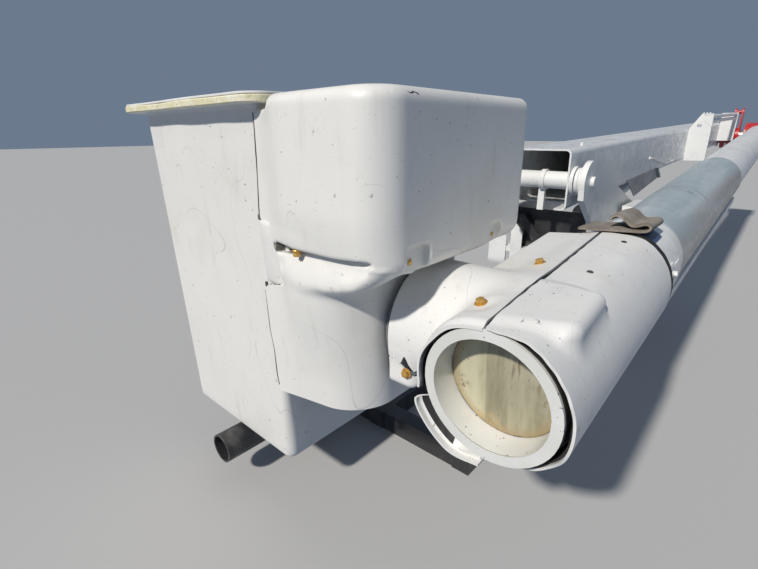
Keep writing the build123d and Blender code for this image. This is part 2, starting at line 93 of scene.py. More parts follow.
# ---------------------------------------------------------------- materials
class Mat:
    """A material and short calls for its nodes. Sockets and plain values mix freely."""

    def __init__(self, name):
        self.m = bpy.data.materials.new(name)
        self.m.use_nodes = True
        self.t = self.m.node_tree
        self.bsdf = self.t.nodes["Principled BSDF"]
        self.pos = self.t.nodes.new("ShaderNodeTexCoord").outputs["Object"]

    def put(self, sock, v):
        if isinstance(v, bpy.types.NodeSocket):
            self.t.links.new(v, sock)
        elif isinstance(v, (tuple, list)) and len(v) == 3 and sock.type == "RGBA":
            sock.default_value = (*v, 1.0)
        else:
            sock.default_value = v

    def node(self, kind, ins=None, **props):
        n = self.t.nodes.new("ShaderNode" + kind)
        for k, v in props.items():
            setattr(n, k, v)
        for k, v in (ins or {}).items():
            self.put(n.inputs[k], v)
        return n

    def f(self, op, a, b=0.0, clamp=False):
        return self.node("Math", {0: a, 1: b}, operation=op, use_clamp=clamp).outputs[0]

    def band(self, v, lo, hi, a=0.0, b=1.0):
        n = self.node("MapRange", {"Value": v, "From Min": lo, "From Max": hi, "To Min": a, "To Max": b}, interpolation_type="SMOOTHSTEP")
        return n.outputs["Result"]

    def mix(self, fac, a, b):
        n = self.node("Mix", data_type="RGBA")
        self.put(n.inputs[0], fac)
        self.put(n.inputs[6], a)
        self.put(n.inputs[7], b)
        return n.outputs[2]

    def scaled(self, x, y, z, rot=(0, 0, 0), vec=None):
        return self.node("Mapping", {"Vector": self.pos if vec is None else vec, "Scale": (x, y, z), "Rotation": rot}).outputs[0]

    def noise(self, scale, detail=3.0, rough=0.55, vec=None, warp=0.0):
        n = self.node("TexNoise", {"Vector": self.pos if vec is None else vec, "Scale": scale, "Detail": detail, "Roughness": rough, "Distortion": warp})
        return n.outputs["Fac"]

    def cells(self, scale, vec=None, feature="F1"):
        n = self.node("TexVoronoi", {"Vector": self.pos if vec is None else vec, "Scale": scale}, feature=feature)
        return n.outputs["Distance"]

    def axis(self, i):
        return self.node("SeparateXYZ", {0: self.pos}).outputs[i]

    def dot(self, p, r, soft=0.3):
        """1 within r of the point p, fading over soft times r."""
        n = self.node("VectorMath", {0: self.pos, 1: p}, operation="DISTANCE").outputs["Value"]
        return self.band(n, r * (1 + soft), r, 0.0, 1.0)

    def within(self, lo, hi, soft=0.004):
        """1 inside the box lo..hi of object space."""
        out = None
        for i in range(3):
            if lo[i] is None and hi[i] is None:
                continue
            c = self.axis(i)
            for lim, s in ((lo[i], 1), (hi[i], -1)):
                if lim is None:
                    continue
                b = self.band(c, lim - s * soft, lim + s * soft)
                out = b if out is None else self.f("MULTIPLY", out, b)
        return out

    def lines(self, scale, width, mask_scale, mask_at, vec=None, detail=0.0):
        """Hairline scratches: thin contour lines of a noise, kept only in patches."""
        n = self.noise(scale, detail, 0.5, vec)
        d = self.f("ABSOLUTE", self.f("SUBTRACT", n, 0.5))
        line = self.band(d, width, width * 0.3)
        patch = self.band(self.noise(mask_scale, 2.0), mask_at, mask_at + 0.05)
        return self.f("MULTIPLY", line, patch)

    def edges(self, radius, lo=0.02, hi=0.15):
        """1 near a sharp edge."""
        bev = self.node("Bevel", {"Radius": radius}, samples=4).outputs[0]
        nor = self.node("NewGeometry").outputs["Normal"]
        d = self.node("VectorMath", {0: bev, 1: nor}, operation="DOT_PRODUCT").outputs["Value"]
        return self.band(self.f("SUBTRACT", 1.0, d), lo, hi)

    def bump(self, height, strength=0.3, distance=0.001, normal=None):
        ins = {"Height": height, "Strength": strength, "Distance": distance}
        if normal is not None:
            ins["Normal"] = normal
        return self.node("Bump", ins).outputs[0]

    def done(self, color, rough=0.5, normal=None, metal=0.0, **extra):
        self.put(self.bsdf.inputs["Base Color"], color)
        self.put(self.bsdf.inputs["Roughness"], rough)
        self.put(self.bsdf.inputs["Metallic"], metal)
        if normal is not None:
            self.put(self.bsdf.inputs["Normal"], normal)
        for k, v in extra.items():
            self.put(self.bsdf.inputs[k], v)
        return self.m


def painted(name, base, rough=0.38, dirt=(0.30, 0.27, 0.22), dirt_amt=0.18, chip=(0.10, 0.09, 0.08), chip_amt=0.8, edge=0.004, coat=0.15, peel=0.25):
    """Enamel on steel: faint mottling, dust, chipped edges, orange peel."""
    t = Mat(name)
    col = t.mix(t.band(t.noise(2.1, 3.0), 0.35, 0.65, 0.0, 0.5), base, tuple(0.90 * c for c in base))
    soil = t.f("MULTIPLY", t.band(t.noise(9.0, 6.0, 0.65), 0.50, 0.72), dirt_amt)
    col = t.mix(soil, col, dirt)
    streak = t.f("MULTIPLY", t.band(t.noise(1.0, 4.0, 0.6, t.scaled(14, 14, 1.6)), 0.55, 0.75), dirt_amt * 0.8)
    col = t.mix(streak, col, dirt)
    speck = t.f("MULTIPLY", t.band(t.noise(160.0, 2.0), 0.68, 0.72), 0.5)
    col = t.mix(speck, col, chip)
    near = t.edges(edge)
    gone = t.f("MULTIPLY", t.f("MULTIPLY", near, t.band(t.noise(55.0, 4.0, 0.7), 0.50, 0.58)), chip_amt)
    col = t.mix(gone, col, chip)
    scr = t.f("MULTIPLY", t.lines(5.0, 0.0035, 3.0, 0.52), 0.45)
    col = t.mix(scr, col, chip)
    r = t.band(t.noise(18.0, 4.0), 0.3, 0.7, rough - 0.08, rough + 0.14)
    h = t.f("ADD", t.f("MULTIPLY", t.noise(420.0, 2.0), peel), t.f("MULTIPLY", gone, -0.9))
    return t.done(col, r, t.bump(h, 0.35, 0.0006), **{"Coat Weight": coat, "Coat Roughness": 0.2})


def gelcoat(name, base=(0.80, 0.785, 0.745), shade=(0.70, 0.66, 0.56), specks=0.75, extra=None):
    """White gelcoat on moulded glass fibre: waviness, yellowing, pinholes, scuffs, scratches."""
    t = Mat(name)
    col = t.mix(t.band(t.noise(1.7, 3.0), 0.36, 0.64, 0.0, 0.55), base, tuple(0.93 * c for c in base))
    col = t.mix(t.f("MULTIPLY", t.band(t.noise(5.0, 5.0, 0.6), 0.50, 0.74), 0.42), col, shade)
    smear = t.f("MULTIPLY", t.band(t.noise(1.0, 5.0, 0.62, t.scaled(20, 20, 5)), 0.55, 0.78), 0.30)
    col = t.mix(smear, col, (0.50, 0.48, 0.43))
    big = t.f("MULTIPLY", t.band(t.noise(75.0, 2.0, 0.5), 0.722, 0.745), specks)
    col = t.mix(big, col, (0.22, 0.20, 0.17))
    fine = t.f("MULTIPLY", t.band(t.noise(230.0, 1.0), 0.715, 0.75), specks * 0.7)
    col = t.mix(fine, col, (0.36, 0.33, 0.28))
    s1 = t.lines(3.2, 0.0022, 2.4, 0.50)
    s2 = t.lines(9.0, 0.0040, 4.0, 0.56, t.scaled(1.0, 1.0, 0.35))
    col = t.mix(t.f("MULTIPLY", s1, 0.35), col, (0.38, 0.36, 0.33))
    col = t.mix(t.f("MULTIPLY", s2, 0.28), col, (0.45, 0.43, 0.39))
    if extra:
        for build in extra:
            fac, paint = build(t)
            col = t.mix(fac, col, paint)
    r = t.band(t.noise(12.0, 5.0, 0.6), 0.3, 0.7, 0.34, 0.56)
    h = t.f("ADD", t.f("MULTIPLY", t.noise(240.0, 3.0), 0.20), t.f("MULTIPLY", t.noise(26.0, 3.0), 0.9))
    h = t.f("ADD", h, t.f("MULTIPLY", t.f("ADD", s1, big), -0.5))
    return t.done(col, r, t.bump(h, 0.30, 0.0012), **{"Coat Weight": 0.12, "Coat Roughness": 0.22})


def bare_glass(name):
    """Bare laminate edge: cream resin with mottled yellow and pale strands."""
    t = Mat(name)
    col = t.mix(t.band(t.noise(30.0, 5.0, 0.7), 0.35, 0.65), (0.72, 0.66, 0.40), (0.82, 0.79, 0.62))
    col = t.mix(t.f("MULTIPLY", t.band(t.noise(120.0, 4.0, 0.7), 0.52, 0.66), 0.7), col, (0.50, 0.44, 0.26))
    col = t.mix(t.f("MULTIPLY", t.band(t.noise(9.0, 4.0), 0.52, 0.70), 0.5), col, (0.84, 0.82, 0.72))
    col = t.mix(t.f("MULTIPLY", t.band(t.noise(300.0, 1.0), 0.66, 0.70), 0.6), col, (0.26, 0.22, 0.14))
    h = t.f("ADD", t.noise(160.0, 5.0, 0.7), t.f("MULTIPLY", t.noise(40.0, 3.0), 1.5))
    return t.done(col, t.band(t.noise(60.0, 3.0), 0.3, 0.7, 0.55, 0.8), t.bump(h, 0.7, 0.0012))


def steel(name, base=(0.56, 0.56, 0.55), rough=0.34, rust=0.35):
    t = Mat(name)
    col = t.mix(t.band(t.noise(30.0, 4.0), 0.35, 0.65), base, tuple(0.75 * c for c in base))
    rst = t.f("MULTIPLY", t.band(t.noise(14.0, 6.0, 0.7), 0.54, 0.66), rust)
    col = t.mix(rst, col, (0.20, 0.10, 0.05))
    r = t.f("ADD", t.band(t.noise(1.0, 3.0, 0.6, t.scaled(18, 240, 240)), 0.3, 0.7, rough - 0.1, rough + 0.15), t.f("MULTIPLY", rst, 0.4))
    return t.done(col, r, t.bump(t.noise(1.0, 3.0, 0.6, t.scaled(20, 300, 300)), 0.15, 0.0004), metal=t.f("SUBTRACT", 1.0, t.f("MULTIPLY", rst, 1.2), clamp=True))


def bolt_gold(name):
    t = Mat(name)
    col = t.mix(t.band(t.noise(220.0, 3.0), 0.40, 0.62), (0.72, 0.45, 0.13), (0.52, 0.29, 0.07))
    col = t.mix(t.f("MULTIPLY", t.band(t.noise(420.0, 2.0), 0.58, 0.68), 0.6), col, (0.30, 0.16, 0.04))
    return t.done(col, t.band(t.noise(300.0, 2.0), 0.3, 0.7, 0.28, 0.5), t.bump(t.noise(500.0, 2.0), 0.3, 0.0003), metal=0.55)


def rubber(name, base=(0.030, 0.030, 0.032), dust=(0.20, 0.18, 0.16), amt=0.5):
    t = Mat(name)
    col = t.mix(t.f("MULTIPLY", t.band(t.noise(14.0, 6.0, 0.65), 0.42, 0.72), amt), base, dust)
    h = t.f("ADD", t.noise(180.0, 3.0), t.f("MULTIPLY", t.noise(700.0, 2.0), 0.4))
    return t.done(col, t.band(t.noise(40.0, 3.0), 0.3, 0.7, 0.55, 0.8), t.bump(h, 0.4, 0.0005))


M_WHITE = painted("white_paint", (0.80, 0.80, 0.78))
M_BOOM = painted("white_boom_paint", (0.78, 0.79, 0.78), rough=0.30, dirt_amt=0.22)
M_BLACK = painted("black_steel", (0.030, 0.030, 0.033), rough=0.42, dirt=(0.22, 0.20, 0.17), dirt_amt=0.30, chip=(0.24, 0.20, 0.16))
M_RED = painted("red_paint", (0.50, 0.018, 0.022), rough=0.34, dirt_amt=0.22, chip=(0.12, 0.08, 0.07))
M_GREY = painted("grey_paint", (0.19, 0.20, 0.215), rough=0.4, chip=(0.08, 0.07, 0.06))
M_GEL = gelcoat("white_gelcoat")
M_RAW = bare_glass("raw_glass")
M_PIN = steel("pin_steel")
M_CHROME = steel("chrome_rod", (0.80, 0.80, 0.82), 0.10, 0.05)
M_GOLD = bolt_gold("bolt_gold")
M_RUBBER = rubber("black_rubber")


def make_tube():
    """Wound glass tube, weathered blue-grey, with the winding's fine lines and a dusty top."""
    t = Mat("glass_tube")
    col = t.mix(t.band(t.noise(1.0, 4.0, 0.6, t.scaled(1.2, 9, 9)), 0.38, 0.62), (0.37, 0.43, 0.45), (0.47, 0.53, 0.54))
    wind = t.noise(1.0, 3.0, 0.6, t.scaled(90, 4, 4, (0, 0, math.radians(12))))
    col = t.mix(t.f("MULTIPLY", t.band(wind, 0.50, 0.66), 0.30), col, (0.60, 0.64, 0.62))
    long = t.f("MULTIPLY", t.band(t.noise(1.0, 4.0, 0.6, t.scaled(0.9, 26, 26)), 0.55, 0.72), 0.45)
    col = t.mix(long, col, (0.66, 0.68, 0.64))
    soil = t.f("MULTIPLY", t.band(t.noise(5.0, 6.0, 0.65), 0.54, 0.72), 0.4)
    col = t.mix(soil, col, (0.30, 0.28, 0.24))
    dash = t.band(t.noise(1.0, 2.0, 0.5, t.scaled(4, 16, 16)), 0.46, 0.54)
    ring = t.f("MULTIPLY", t.within((0.415, None, None), (0.424, None, None), 0.002), t.f("ADD", t.f("MULTIPLY", dash, 0.72), 0.22))
    col = t.mix(ring, col, (0.15, 0.16, 0.18))
    rel = t.f("SUBTRACT", t.axis(2), t.f("ADD", RING_Z, t.f("MULTIPLY", t.f("SUBTRACT", RING_X, t.axis(0)), UB_TAN)))
    # whitish band under the outer side: partly pale paint, partly painted reflected light from below
    under = t.f("MULTIPLY", t.band(t.f("ADD", rel, t.f("MULTIPLY", t.noise(24.0, 3.0), 0.016)), -0.030, -0.042), t.band(t.axis(1), 0.60, 0.62))
    ring2 = t.f("MULTIPLY", t.within((0.486, None, 0.8), (0.497, 0.60, None), 0.003), t.band(t.noise(1.0, 2.0, 0.5, t.scaled(9, 24, 24)), 0.50, 0.56))
    col = t.mix(t.f("MULTIPLY", ring2, 0.92), col, (0.09, 0.10, 0.13))
    # brown weathering low on the outer side
    side = t.f("MULTIPLY", t.band(t.axis(1), 0.625, 0.668), t.band(t.noise(1.0, 5.0, 0.65, t.scaled(1.6, 18, 18)), 0.34, 0.60, 0.45, 1.0))
    col = t.mix(t.f("MULTIPLY", side, 0.8), col, (0.33, 0.295, 0.25))
    col = t.mix(under, col, t.mix(t.band(t.noise(40.0, 5.0, 0.7), 0.42, 0.60), (0.80, 0.78, 0.72), (0.50, 0.47, 0.41)))
    # white paint on the end, from the tip cover forward, over the bore's mouth and the end face
    white = t.within((1.06, None, None), (None, None, None), 0.02)
    wcol = t.mix(t.band(t.noise(7.0, 5.0), 0.35, 0.65), (0.80, 0.80, 0.77), (0.70, 0.69, 0.64))
    chips = t.f("MULTIPLY", t.edges(0.0022, 0.02, 0.10), t.f("MULTIPLY", t.band(t.noise(170.0, 4.0, 0.7), 0.55, 0.60), t.band(t.noise(9.0, 2.0), 0.50, 0.56)))
    wcol = t.mix(chips, wcol, (0.05, 0.05, 0.05))
    wcol = t.mix(t.f("MULTIPLY", t.band(t.noise(90.0, 2.0), 0.70, 0.73), 0.8), wcol, (0.08, 0.08, 0.08))
    depth = t.f("SUBTRACT", t.axis(0), t.f("MULTIPLY", t.f("SUBTRACT", t.axis(2), RING_Z), UB_TAN))
    inner = t.f("SUBTRACT", depth, t.f("MULTIPLY", t.noise(16.0, 3.0), 0.006))
    line = t.f("MULTIPLY", t.f("MULTIPLY", t.band(inner, 2.0416, 2.0428), t.band(inner, 2.0444, 2.0434)), t.band(t.axis(2), 0.62, 0.60))
    wcol = t.mix(t.f("MULTIPLY", line, 0.7), wcol, (0.10, 0.10, 0.10))
    # painted shade: a black dot for a small hole in the bore's wall
    wcol = t.mix(t.f("MULTIPLY", t.dot((2.003, 0.432, 0.713), 0.0035, 0.8), 0.95), wcol, (0.03, 0.03, 0.03))
    col = t.mix(white, col, wcol)
    r = t.band(t.noise(30.0, 4.0), 0.3, 0.7, 0.30, 0.52)
    h = t.f("ADD", wind, t.f("MULTIPLY", t.noise(150.0, 3.0), 0.4))
    return t.done(col, r, t.bump(h, 0.25, 0.0008), **{"Coat Weight": 0.2, "Coat Roughness": 0.25})


M_TUBE = make_tube()

NODE_MATS = {
    "subframe": M_BLACK, "pedestal_base": M_WHITE, "pedestal": M_WHITE, "slew_ring": M_GREY,
    "bucket_rest_tube": M_BLACK, "bucket_rest_bracket": M_BLACK, "turntable_plate": M_WHITE,
    "turntable_ears": M_WHITE, "pivot_pin": M_WHITE, "pivot_washers": M_WHITE, "pin_link": M_WHITE,
    # turntable_cross_plate is painted shade: black for a plate between the ears that sits in shade
    "turntable_cross_plate": M_BLACK, "turntable_guard": M_WHITE, "guard_brace": M_BLACK,
    "cylinder_base_lugs": M_WHITE, "rotation_gearbox": M_GREY, "valve_block": M_WHITE,
    "lower_boom_box": M_BOOM, "cylinder_boom_lugs": M_WHITE, "cylinder_boom_pin": M_PIN,
    "line_bracket": M_WHITE, "elbow_lines": M_WHITE, "line_stay": M_WHITE, "elbow_side_plates": M_WHITE,
    "elbow_end_plate": M_WHITE, "elbow_shaft": M_PIN, "lift_cylinder_barrel": M_WHITE,
    "lift_cylinder_rod": M_CHROME, "level_sheave": M_RED, "level_crank": M_RED,
    "upper_boom_knuckle": M_RED, "upper_boom_steel_tube": M_WHITE, "upper_boom_tube": M_TUBE,
    "tube_bulkhead": M_RAW, "boom_collar": M_WHITE, "tip_cover_right": M_GEL, "tip_cover_left": M_GEL,
    "tip_cover_lower": M_GEL, "tip_shaft_housing": M_GREY, "tip_shaft": M_PIN,
    "belting_flap": M_RUBBER, "conduit_strip": M_WHITE, "bucket": M_GEL, "bucket_liner": M_GEL,
    # bucket_bracket's dark grey is partly grey paint, partly painted shade for a hub in the console cover's shade
    "console_cover": M_GEL, "bucket_bracket": M_GREY,
}
for name, mat in NODE_MATS.items():
    ob = bpy.data.objects[name]
    if not ob.material_slots:
        ob.data.materials.append(mat)
    for s in ob.material_slots:
        s.material = mat


# ---------------------------------------------------------------- mesh kit
def mesh_obj(name, verts, faces, mat, body, slot=None, replaces=(), sharp=32.0, smooth=True, mats=None, face_mats=None):
    me = bpy.data.meshes.new(name)
    me.from_pydata([tuple(map(float, v)) for v in verts], [], [tuple(map(int, f)) for f in faces])
    me.validate()
    me.update()
    for mm in (mats or [mat]):
        me.materials.append(mm)
    if face_mats is not None:
        me.polygons.foreach_set("material_index", np.asarray(face_mats, dtype=np.int32))
    ob = bpy.data.objects.new(name, me)
    COL.objects.link(ob)
    if smooth:
        me.polygons.foreach_set("use_smooth", np.ones(len(me.polygons), dtype=bool))
        me.set_sharp_from_angle(angle=math.radians(sharp))
    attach(ob, body)
    if replaces:
        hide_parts(*replaces)
    return ob


def surface_nets(f, lo, hi, h):
    """Quads on f = 0 from a regular grid."""
    lo = np.array(lo, float)
    n = np.ceil((np.array(hi) - lo) / h).astype(int) + 1
    ax = [lo[i] + h * np.arange(n[i]) for i in range(3)]
    G = np.stack(np.meshgrid(*ax, indexing="ij"), -1)
    F = f(G.reshape(-1, 3)).reshape(tuple(n))
    I = F < 0
    c = np.zeros(tuple(n - 1), int)
    for d in np.ndindex(2, 2, 2):
        c += I[d[0]:n[0] - 1 + d[0], d[1]:n[1] - 1 + d[1], d[2]:n[2] - 1 + d[2]]
    active = (c > 0) & (c < 8)
    cells = np.argwhere(active)
    idx = -np.ones(tuple(n - 1), int)
    idx[active] = np.arange(len(cells))
    acc = np.zeros((len(cells), 3))
    cnt = np.zeros(len(cells))
    corners = [np.array(d) for d in np.ndindex(2, 2, 2)]
    for a in corners:
        for k in range(3):
            if a[k]:
                continue
            b = a.copy()
            b[k] = 1
            pa, pb = cells + a, cells + b
            fa, fb = F[tuple(pa.T)], F[tuple(pb.T)]
            cr = (fa < 0) != (fb < 0)
            t = fa[cr] / (fa[cr] - fb[cr])
            acc[cr] += a + t[:, None] * (b - a)
            cnt[cr] += 1
    V = lo + (cells + acc / cnt[:, None]) * h
    quads = []
    for k in range(3):
        u, v = (k + 1) % 3, (k + 2) % 3
        sl = [slice(None)] * 3
        sl[k] = slice(0, n[k] - 1)
        A = I[tuple(sl)]
        sl[k] = slice(1, n[k])
        B = I[tuple(sl)]
        E = np.argwhere(A != B)
        ok = (E[:, u] > 0) & (E[:, v] > 0) & (E[:, u] < n[u] - 1) & (E[:, v] < n[v] - 1)
        E = E[ok]
        q = []
        for du, dv in ((1, 1), (0, 1), (0, 0), (1, 0)):
            e = E.copy()
            e[:, u] -= du
            e[:, v] -= dv
            q.append(idx[tuple(e.T)])
        q = np.stack(q, 1)
        fl = ~A[tuple(E.T)]
        q[fl] = q[fl][:, ::-1]
        quads.append(q)
    return V, np.concatenate(quads)


def grad(f, P, e=4e-4):
    g = np.empty_like(P)
    for k in range(3):
        d = np.zeros(3)
        d[k] = e
        g[:, k] = (f(P + d) - f(P - d)) / (2 * e)
    return g


def settle(f, P, steps=4):
    for _ in range(steps):
        g = grad(f, P)
        P = P - (f(P) / np.maximum((g * g).sum(1), 0.05))[:, None] * g * 0.95
    return P


def tris(V, Q):
    d1 = np.linalg.norm(V[Q[:, 0]] - V[Q[:, 2]], axis=1)
    d2 = np.linalg.norm(V[Q[:, 1]] - V[Q[:, 3]], axis=1)
    a = d1 <= d2
    T = np.empty((len(Q) * 2, 3), int)
    T[0::2] = np.where(a[:, None], Q[:, [0, 1, 2]], Q[:, [0, 1, 3]])
    T[1::2] = np.where(a[:, None], Q[:, [0, 2, 3]], Q[:, [1, 2, 3]])
    return T


def clip(V, T, g):
    """Keep the part of a triangle mesh where g <= 0."""
    s = g(V)
    s = np.where(np.abs(s) < 2e-5, -2e-5, s)
    ins = s < 0
    cnt = ins[T].sum(1)
    keep = [T[cnt == 3]]
    V = list(V)
    made = {}

    def cut(i, j):
        key = (i, j) if i < j else (j, i)
        if key not in made:
            t = s[key[0]] / (s[key[0]] - s[key[1]])
            made[key] = len(V)
            V.append(V[key[0]] + t * (V[key[1]] - V[key[0]]))
        return made[key]

    out = []
    for tri in T[(cnt == 1) | (cnt == 2)]:
        tri = [int(x) for x in tri]
        one = [k for k in range(3) if ins[tri[k]] == (ins[tri].sum() == 1)][0]
        a, b, c = tri[one], tri[(one + 1) % 3], tri[(one + 2) % 3]
        ab, ac = cut(a, b), cut(a, c)
        if ins[a]:
            out.append((a, ab, ac))
        else:
            out.append((ab, b, c))
            out.append((ab, c, ac))
    if out:
        keep.append(np.array(out))
    T = np.concatenate(keep)
    V = np.array(V)
    used, inv = np.unique(T, return_inverse=True)
    return V[used], inv.reshape(T.shape)


def weld(V, T, tol=3e-4):
    """Join points closer than tol and drop the faces that collapse."""
    key = np.round(V / tol).astype(np.int64)
    _, first, inv = np.unique(key, axis=0, return_index=True, return_inverse=True)
    inv = inv.reshape(-1)
    T = inv[T]
    ok = (T[:, 0] != T[:, 1]) & (T[:, 1] != T[:, 2]) & (T[:, 0] != T[:, 2])
    return V[first], T[ok]


def biggest(V, T):
    """Drop loose crumbs: keep the largest connected piece."""
    lab = np.arange(len(V))
    while True:
        mn = lab[T].min(1)
        new = lab.copy()
        for k in range(3):
            np.minimum.at(new, T[:, k], mn)
        new = new[new]
        if (new == lab).all():
            break
        lab = new
    root, cnt = np.unique(lab[T[:, 0]], return_counts=True)
    T = T[lab[T[:, 0]] == root[cnt.argmax()]]
    used, inv = np.unique(T, return_inverse=True)
    return V[used], inv.reshape(T.shape)


def thicken(V, T, N, t):
    """Closed shell: the sheet, a copy t behind it, and a rim."""
    n = len(V)
    N = N / np.linalg.norm(N, axis=1)[:, None]
    VV = np.concatenate([V, V - N * t])
    E = np.concatenate([T[:, [0, 1]], T[:, [1, 2]], T[:, [2, 0]]])
    fwd = {(int(a), int(b)) for a, b in E}
    rim = [(b, a, a + n, b + n) for a, b in fwd if (b, a) not in fwd]
    faces = [tuple(x) for x in T] + [tuple(x) for x in (T[:, ::-1] + n)] + rim
    return VV, faces


def smin(a, b, k):
    h = np.clip(0.5 + 0.5 * (b - a) / k, 0, 1)
    return b + (a - b) * h - k * h * (1 - h)


def smax(a, b, k):
    return -smin(-a, -b, k)


def rmax(a, b, r):
    """Intersection of two walls with a round edge of radius r."""
    return np.minimum(np.maximum(a, b), -r) + np.hypot(np.maximum(a + r, 0), np.maximum(b + r, 0))


def step(x, a, b):
    t = np.clip((x - a) / (b - a), 0, 1)
    return t * t * (3 - 2 * t)


def rings(stack, close_ends=(False, False), wrap=False):
    """Quads between rings of equally many points."""
    V = np.concatenate(stack)
    n = len(stack[0])
    F = []
    m = len(stack)
    for i in range(m if wrap else m - 1):
        j = (i + 1) % m
        for k in range(n):
            k2 = (k + 1) % n
            F.append((i * n + k, i * n + k2, j * n + k2, j * n + k))
    if close_ends[0]:
        F.append(tuple(range(n - 1, -1, -1)))
    if close_ends[1]:
        F.append(tuple(range((m - 1) * n, m * n)))
    return V, F


def rounded(x0, x1, y0, y1, r, z, per=10, side=8, tight=None):
    """Anticlockwise rounded rectangle with points along its sides; tight: radius of the +X +Y corner."""
    pts = []
    cs = [(x1 - r, y0 + r, -90), (x1 - r, y1 - r, 0), (x0 + r, y1 - r, 90), (x0 + r, y0 + r, 180)]
    for i, (cx, cy, a0) in enumerate(cs):
        rr = r if tight is None or i != 1 else min(r, tight)
        ox, oy = cx + (r - rr), cy + (r - rr)
        arc = [(ox + rr * math.cos(math.radians(a0 + 90 * k / per)), oy + rr * math.sin(math.radians(a0 + 90 * k / per))) for k in range(per + 1)]
        pts += arc
        nx = cs[(i + 1) % 4]
        b = (nx[0] + r * math.cos(math.radians(nx[2])), nx[1] + r * math.sin(math.radians(nx[2])))
        if tight is not None and i == 0:
            b = (b[0], b[1] + r - min(r, tight))
        a = arc[-1]
        pts += [(a[0] + (b[0] - a[0]) * k / side, a[1] + (b[1] - a[1]) * k / side) for k in range(1, side)]
    return np.array([(x, y, z) for x, y in pts])


def lathe(profile, seg=24, axis=(0, 0, 1), at=(0, 0, 0), caps=True):
    """Turned form: profile of (radius, height) along an axis."""
    q = Vector((0, 0, 1)).rotation_difference(Vector(axis).normalized())
    st = []
    for r, h in profile:
        st.append(np.array([tuple(q @ Vector((r * math.cos(2 * math.pi * k / seg), r * math.sin(2 * math.pi * k / seg), h)) + Vector(at)) for k in range(seg)]))
    return rings(st, (caps, caps))


def join(parts):
    V, F, off = [], [], 0
    for v, f in parts:
        V.append(np.asarray(v))
        F += [tuple(i + off for i in x) for x in f]
        off += len(v)
    return np.concatenate(V), F


def bolt(at, axis, across=0.019, head=0.008, washer=0.014, washer_t=0.002, turn=0.2, dome=0.3):
    """Washer and hexagon head standing on a surface."""
    q = Vector((0, 0, 1)).rotation_difference(Vector(axis).normalized())
    base = lathe([(washer * 0.92, -0.002), (washer, 0.0), (washer, washer_t * 0.8), (washer * 0.93, washer_t)], 20, axis, at)
    R = across / math.sqrt(3)
    st = []
    for rr, h in ((R * 0.97, washer_t), (R, washer_t + head * 0.1), (R, washer_t + head * 0.8), (R * 0.93, washer_t + head * 0.93), (R * 0.80, washer_t + head)):
        st.append(np.array([tuple(q @ Vector((rr * math.cos(turn + math.pi * k / 3), rr * math.sin(turn + math.pi * k / 3), h)) + Vector(at)) for k in range(6)]))
    return join([base, rings(st, (True, True))])


# ---------------------------------------------------------------- bucket
def bucket_ring(off, z, r, grow_at=None, tight=None):
    g = TAPER * ((grow_at if grow_at is not None else z) - BZ0) / (BZ1 - BZ0)
    return rounded(BX0 - g - off, BX1 + g + off, BY0 - g - off, BY1 + g + off, r, z, tight=tight)


def make_bucket():
    st = []
    rb = 0.020
    for k in range(7):                                     # rounded bottom edge, outside
        a = math.radians(90 * k / 6)
        st.append(bucket_ring(-rb + rb * math.sin(a), BZ0 + rb - rb * math.cos(a), 0.030 - 0.012 * (1 - math.sin(a)), BZ0))
    for z in np.linspace(BZ0 + 0.05, BZ1 - 0.02, 16):
        st.append(bucket_ring(0, z, 0.030 + 0.012 * (z - BZ0) / (BZ1 - BZ0), tight=0.030 - 0.020 * min(1, max(0, (z - 0.30) / 0.3))))
    st.append(bucket_ring(0.0015, BZ1 - 0.008, 0.042, tight=0.012))
    st.append(bucket_ring(0.008, BZ1 - 0.001, 0.046, tight=0.020))
    st.append(bucket_ring(0.016, BZ1, 0.050, tight=0.030))
    n_wall = len(st)
    out_v = []
    for off, dz in ((LIP_OUT - 0.003, 0.0), (LIP_OUT, 0.003), (LIP_OUT, LIP_T - 0.003), (LIP_OUT - 0.002, LIP_T)):
        out_v.append(bucket_ring(off, BZ1 + dz, 0.060, BZ1))
    # the raw edge isn't cut straight
    for ringv in out_v:
        c = np.array([(BX0 + BX1) / 2, (BY0 + BY1) / 2])
        d = ringv[:, :2] - c
        ang = np.arctan2(d[:, 1], d[:, 0])
        wob = 0.0011 * np.sin(9 * ang + 1.0) + 0.0008 * np.sin(23 * ang + 2.0) + 0.0006 * np.sin(41 * ang)
        ringv[:, :2] += d / np.linalg.norm(d, axis=1)[:, None] * (wob - 0.0012)[:, None]
        ringv[:, 2] += 0.0010 * np.sin(7 * ang) * (ringv[:, 2] - BZ1) / LIP_T
    st += out_v
    st.append(bucket_ring(-WALL + 0.004, BZ1 + LIP_T, 0.036, BZ1))
    st.append(bucket_ring(-WALL, BZ1 + LIP_T - 0.004, 0.032, BZ1))
    for z in np.linspace(BZ1 - 0.02, BZ0 + 0.04, 8):
        st.append(bucket_ring(-WALL, z, 0.026))
    st.append(bucket_ring(-WALL - 0.010, BZ0 + WALL + 0.006, 0.020))
    st.append(bucket_ring(-WALL - 0.030, BZ0 + WALL + 0.003, 0.010))
    V, F = rings(st, (True, True))
    n = len(st[0])
    fm = []
    for i in range(len(st) - 1):
        raw = n_wall - 1 <= i <= n_wall + 3
        fm += [1 if (n_wall <= i <= n_wall + 2) else 0] * n
    fm += [0, 0]
    return V, F, fm


V, F, fm = make_bucket()
mesh_obj("bucket_shell", V, F, None, "platform", "white_gelcoat", ("bucket",), mats=[M_GEL, M_RAW], face_mats=fm)


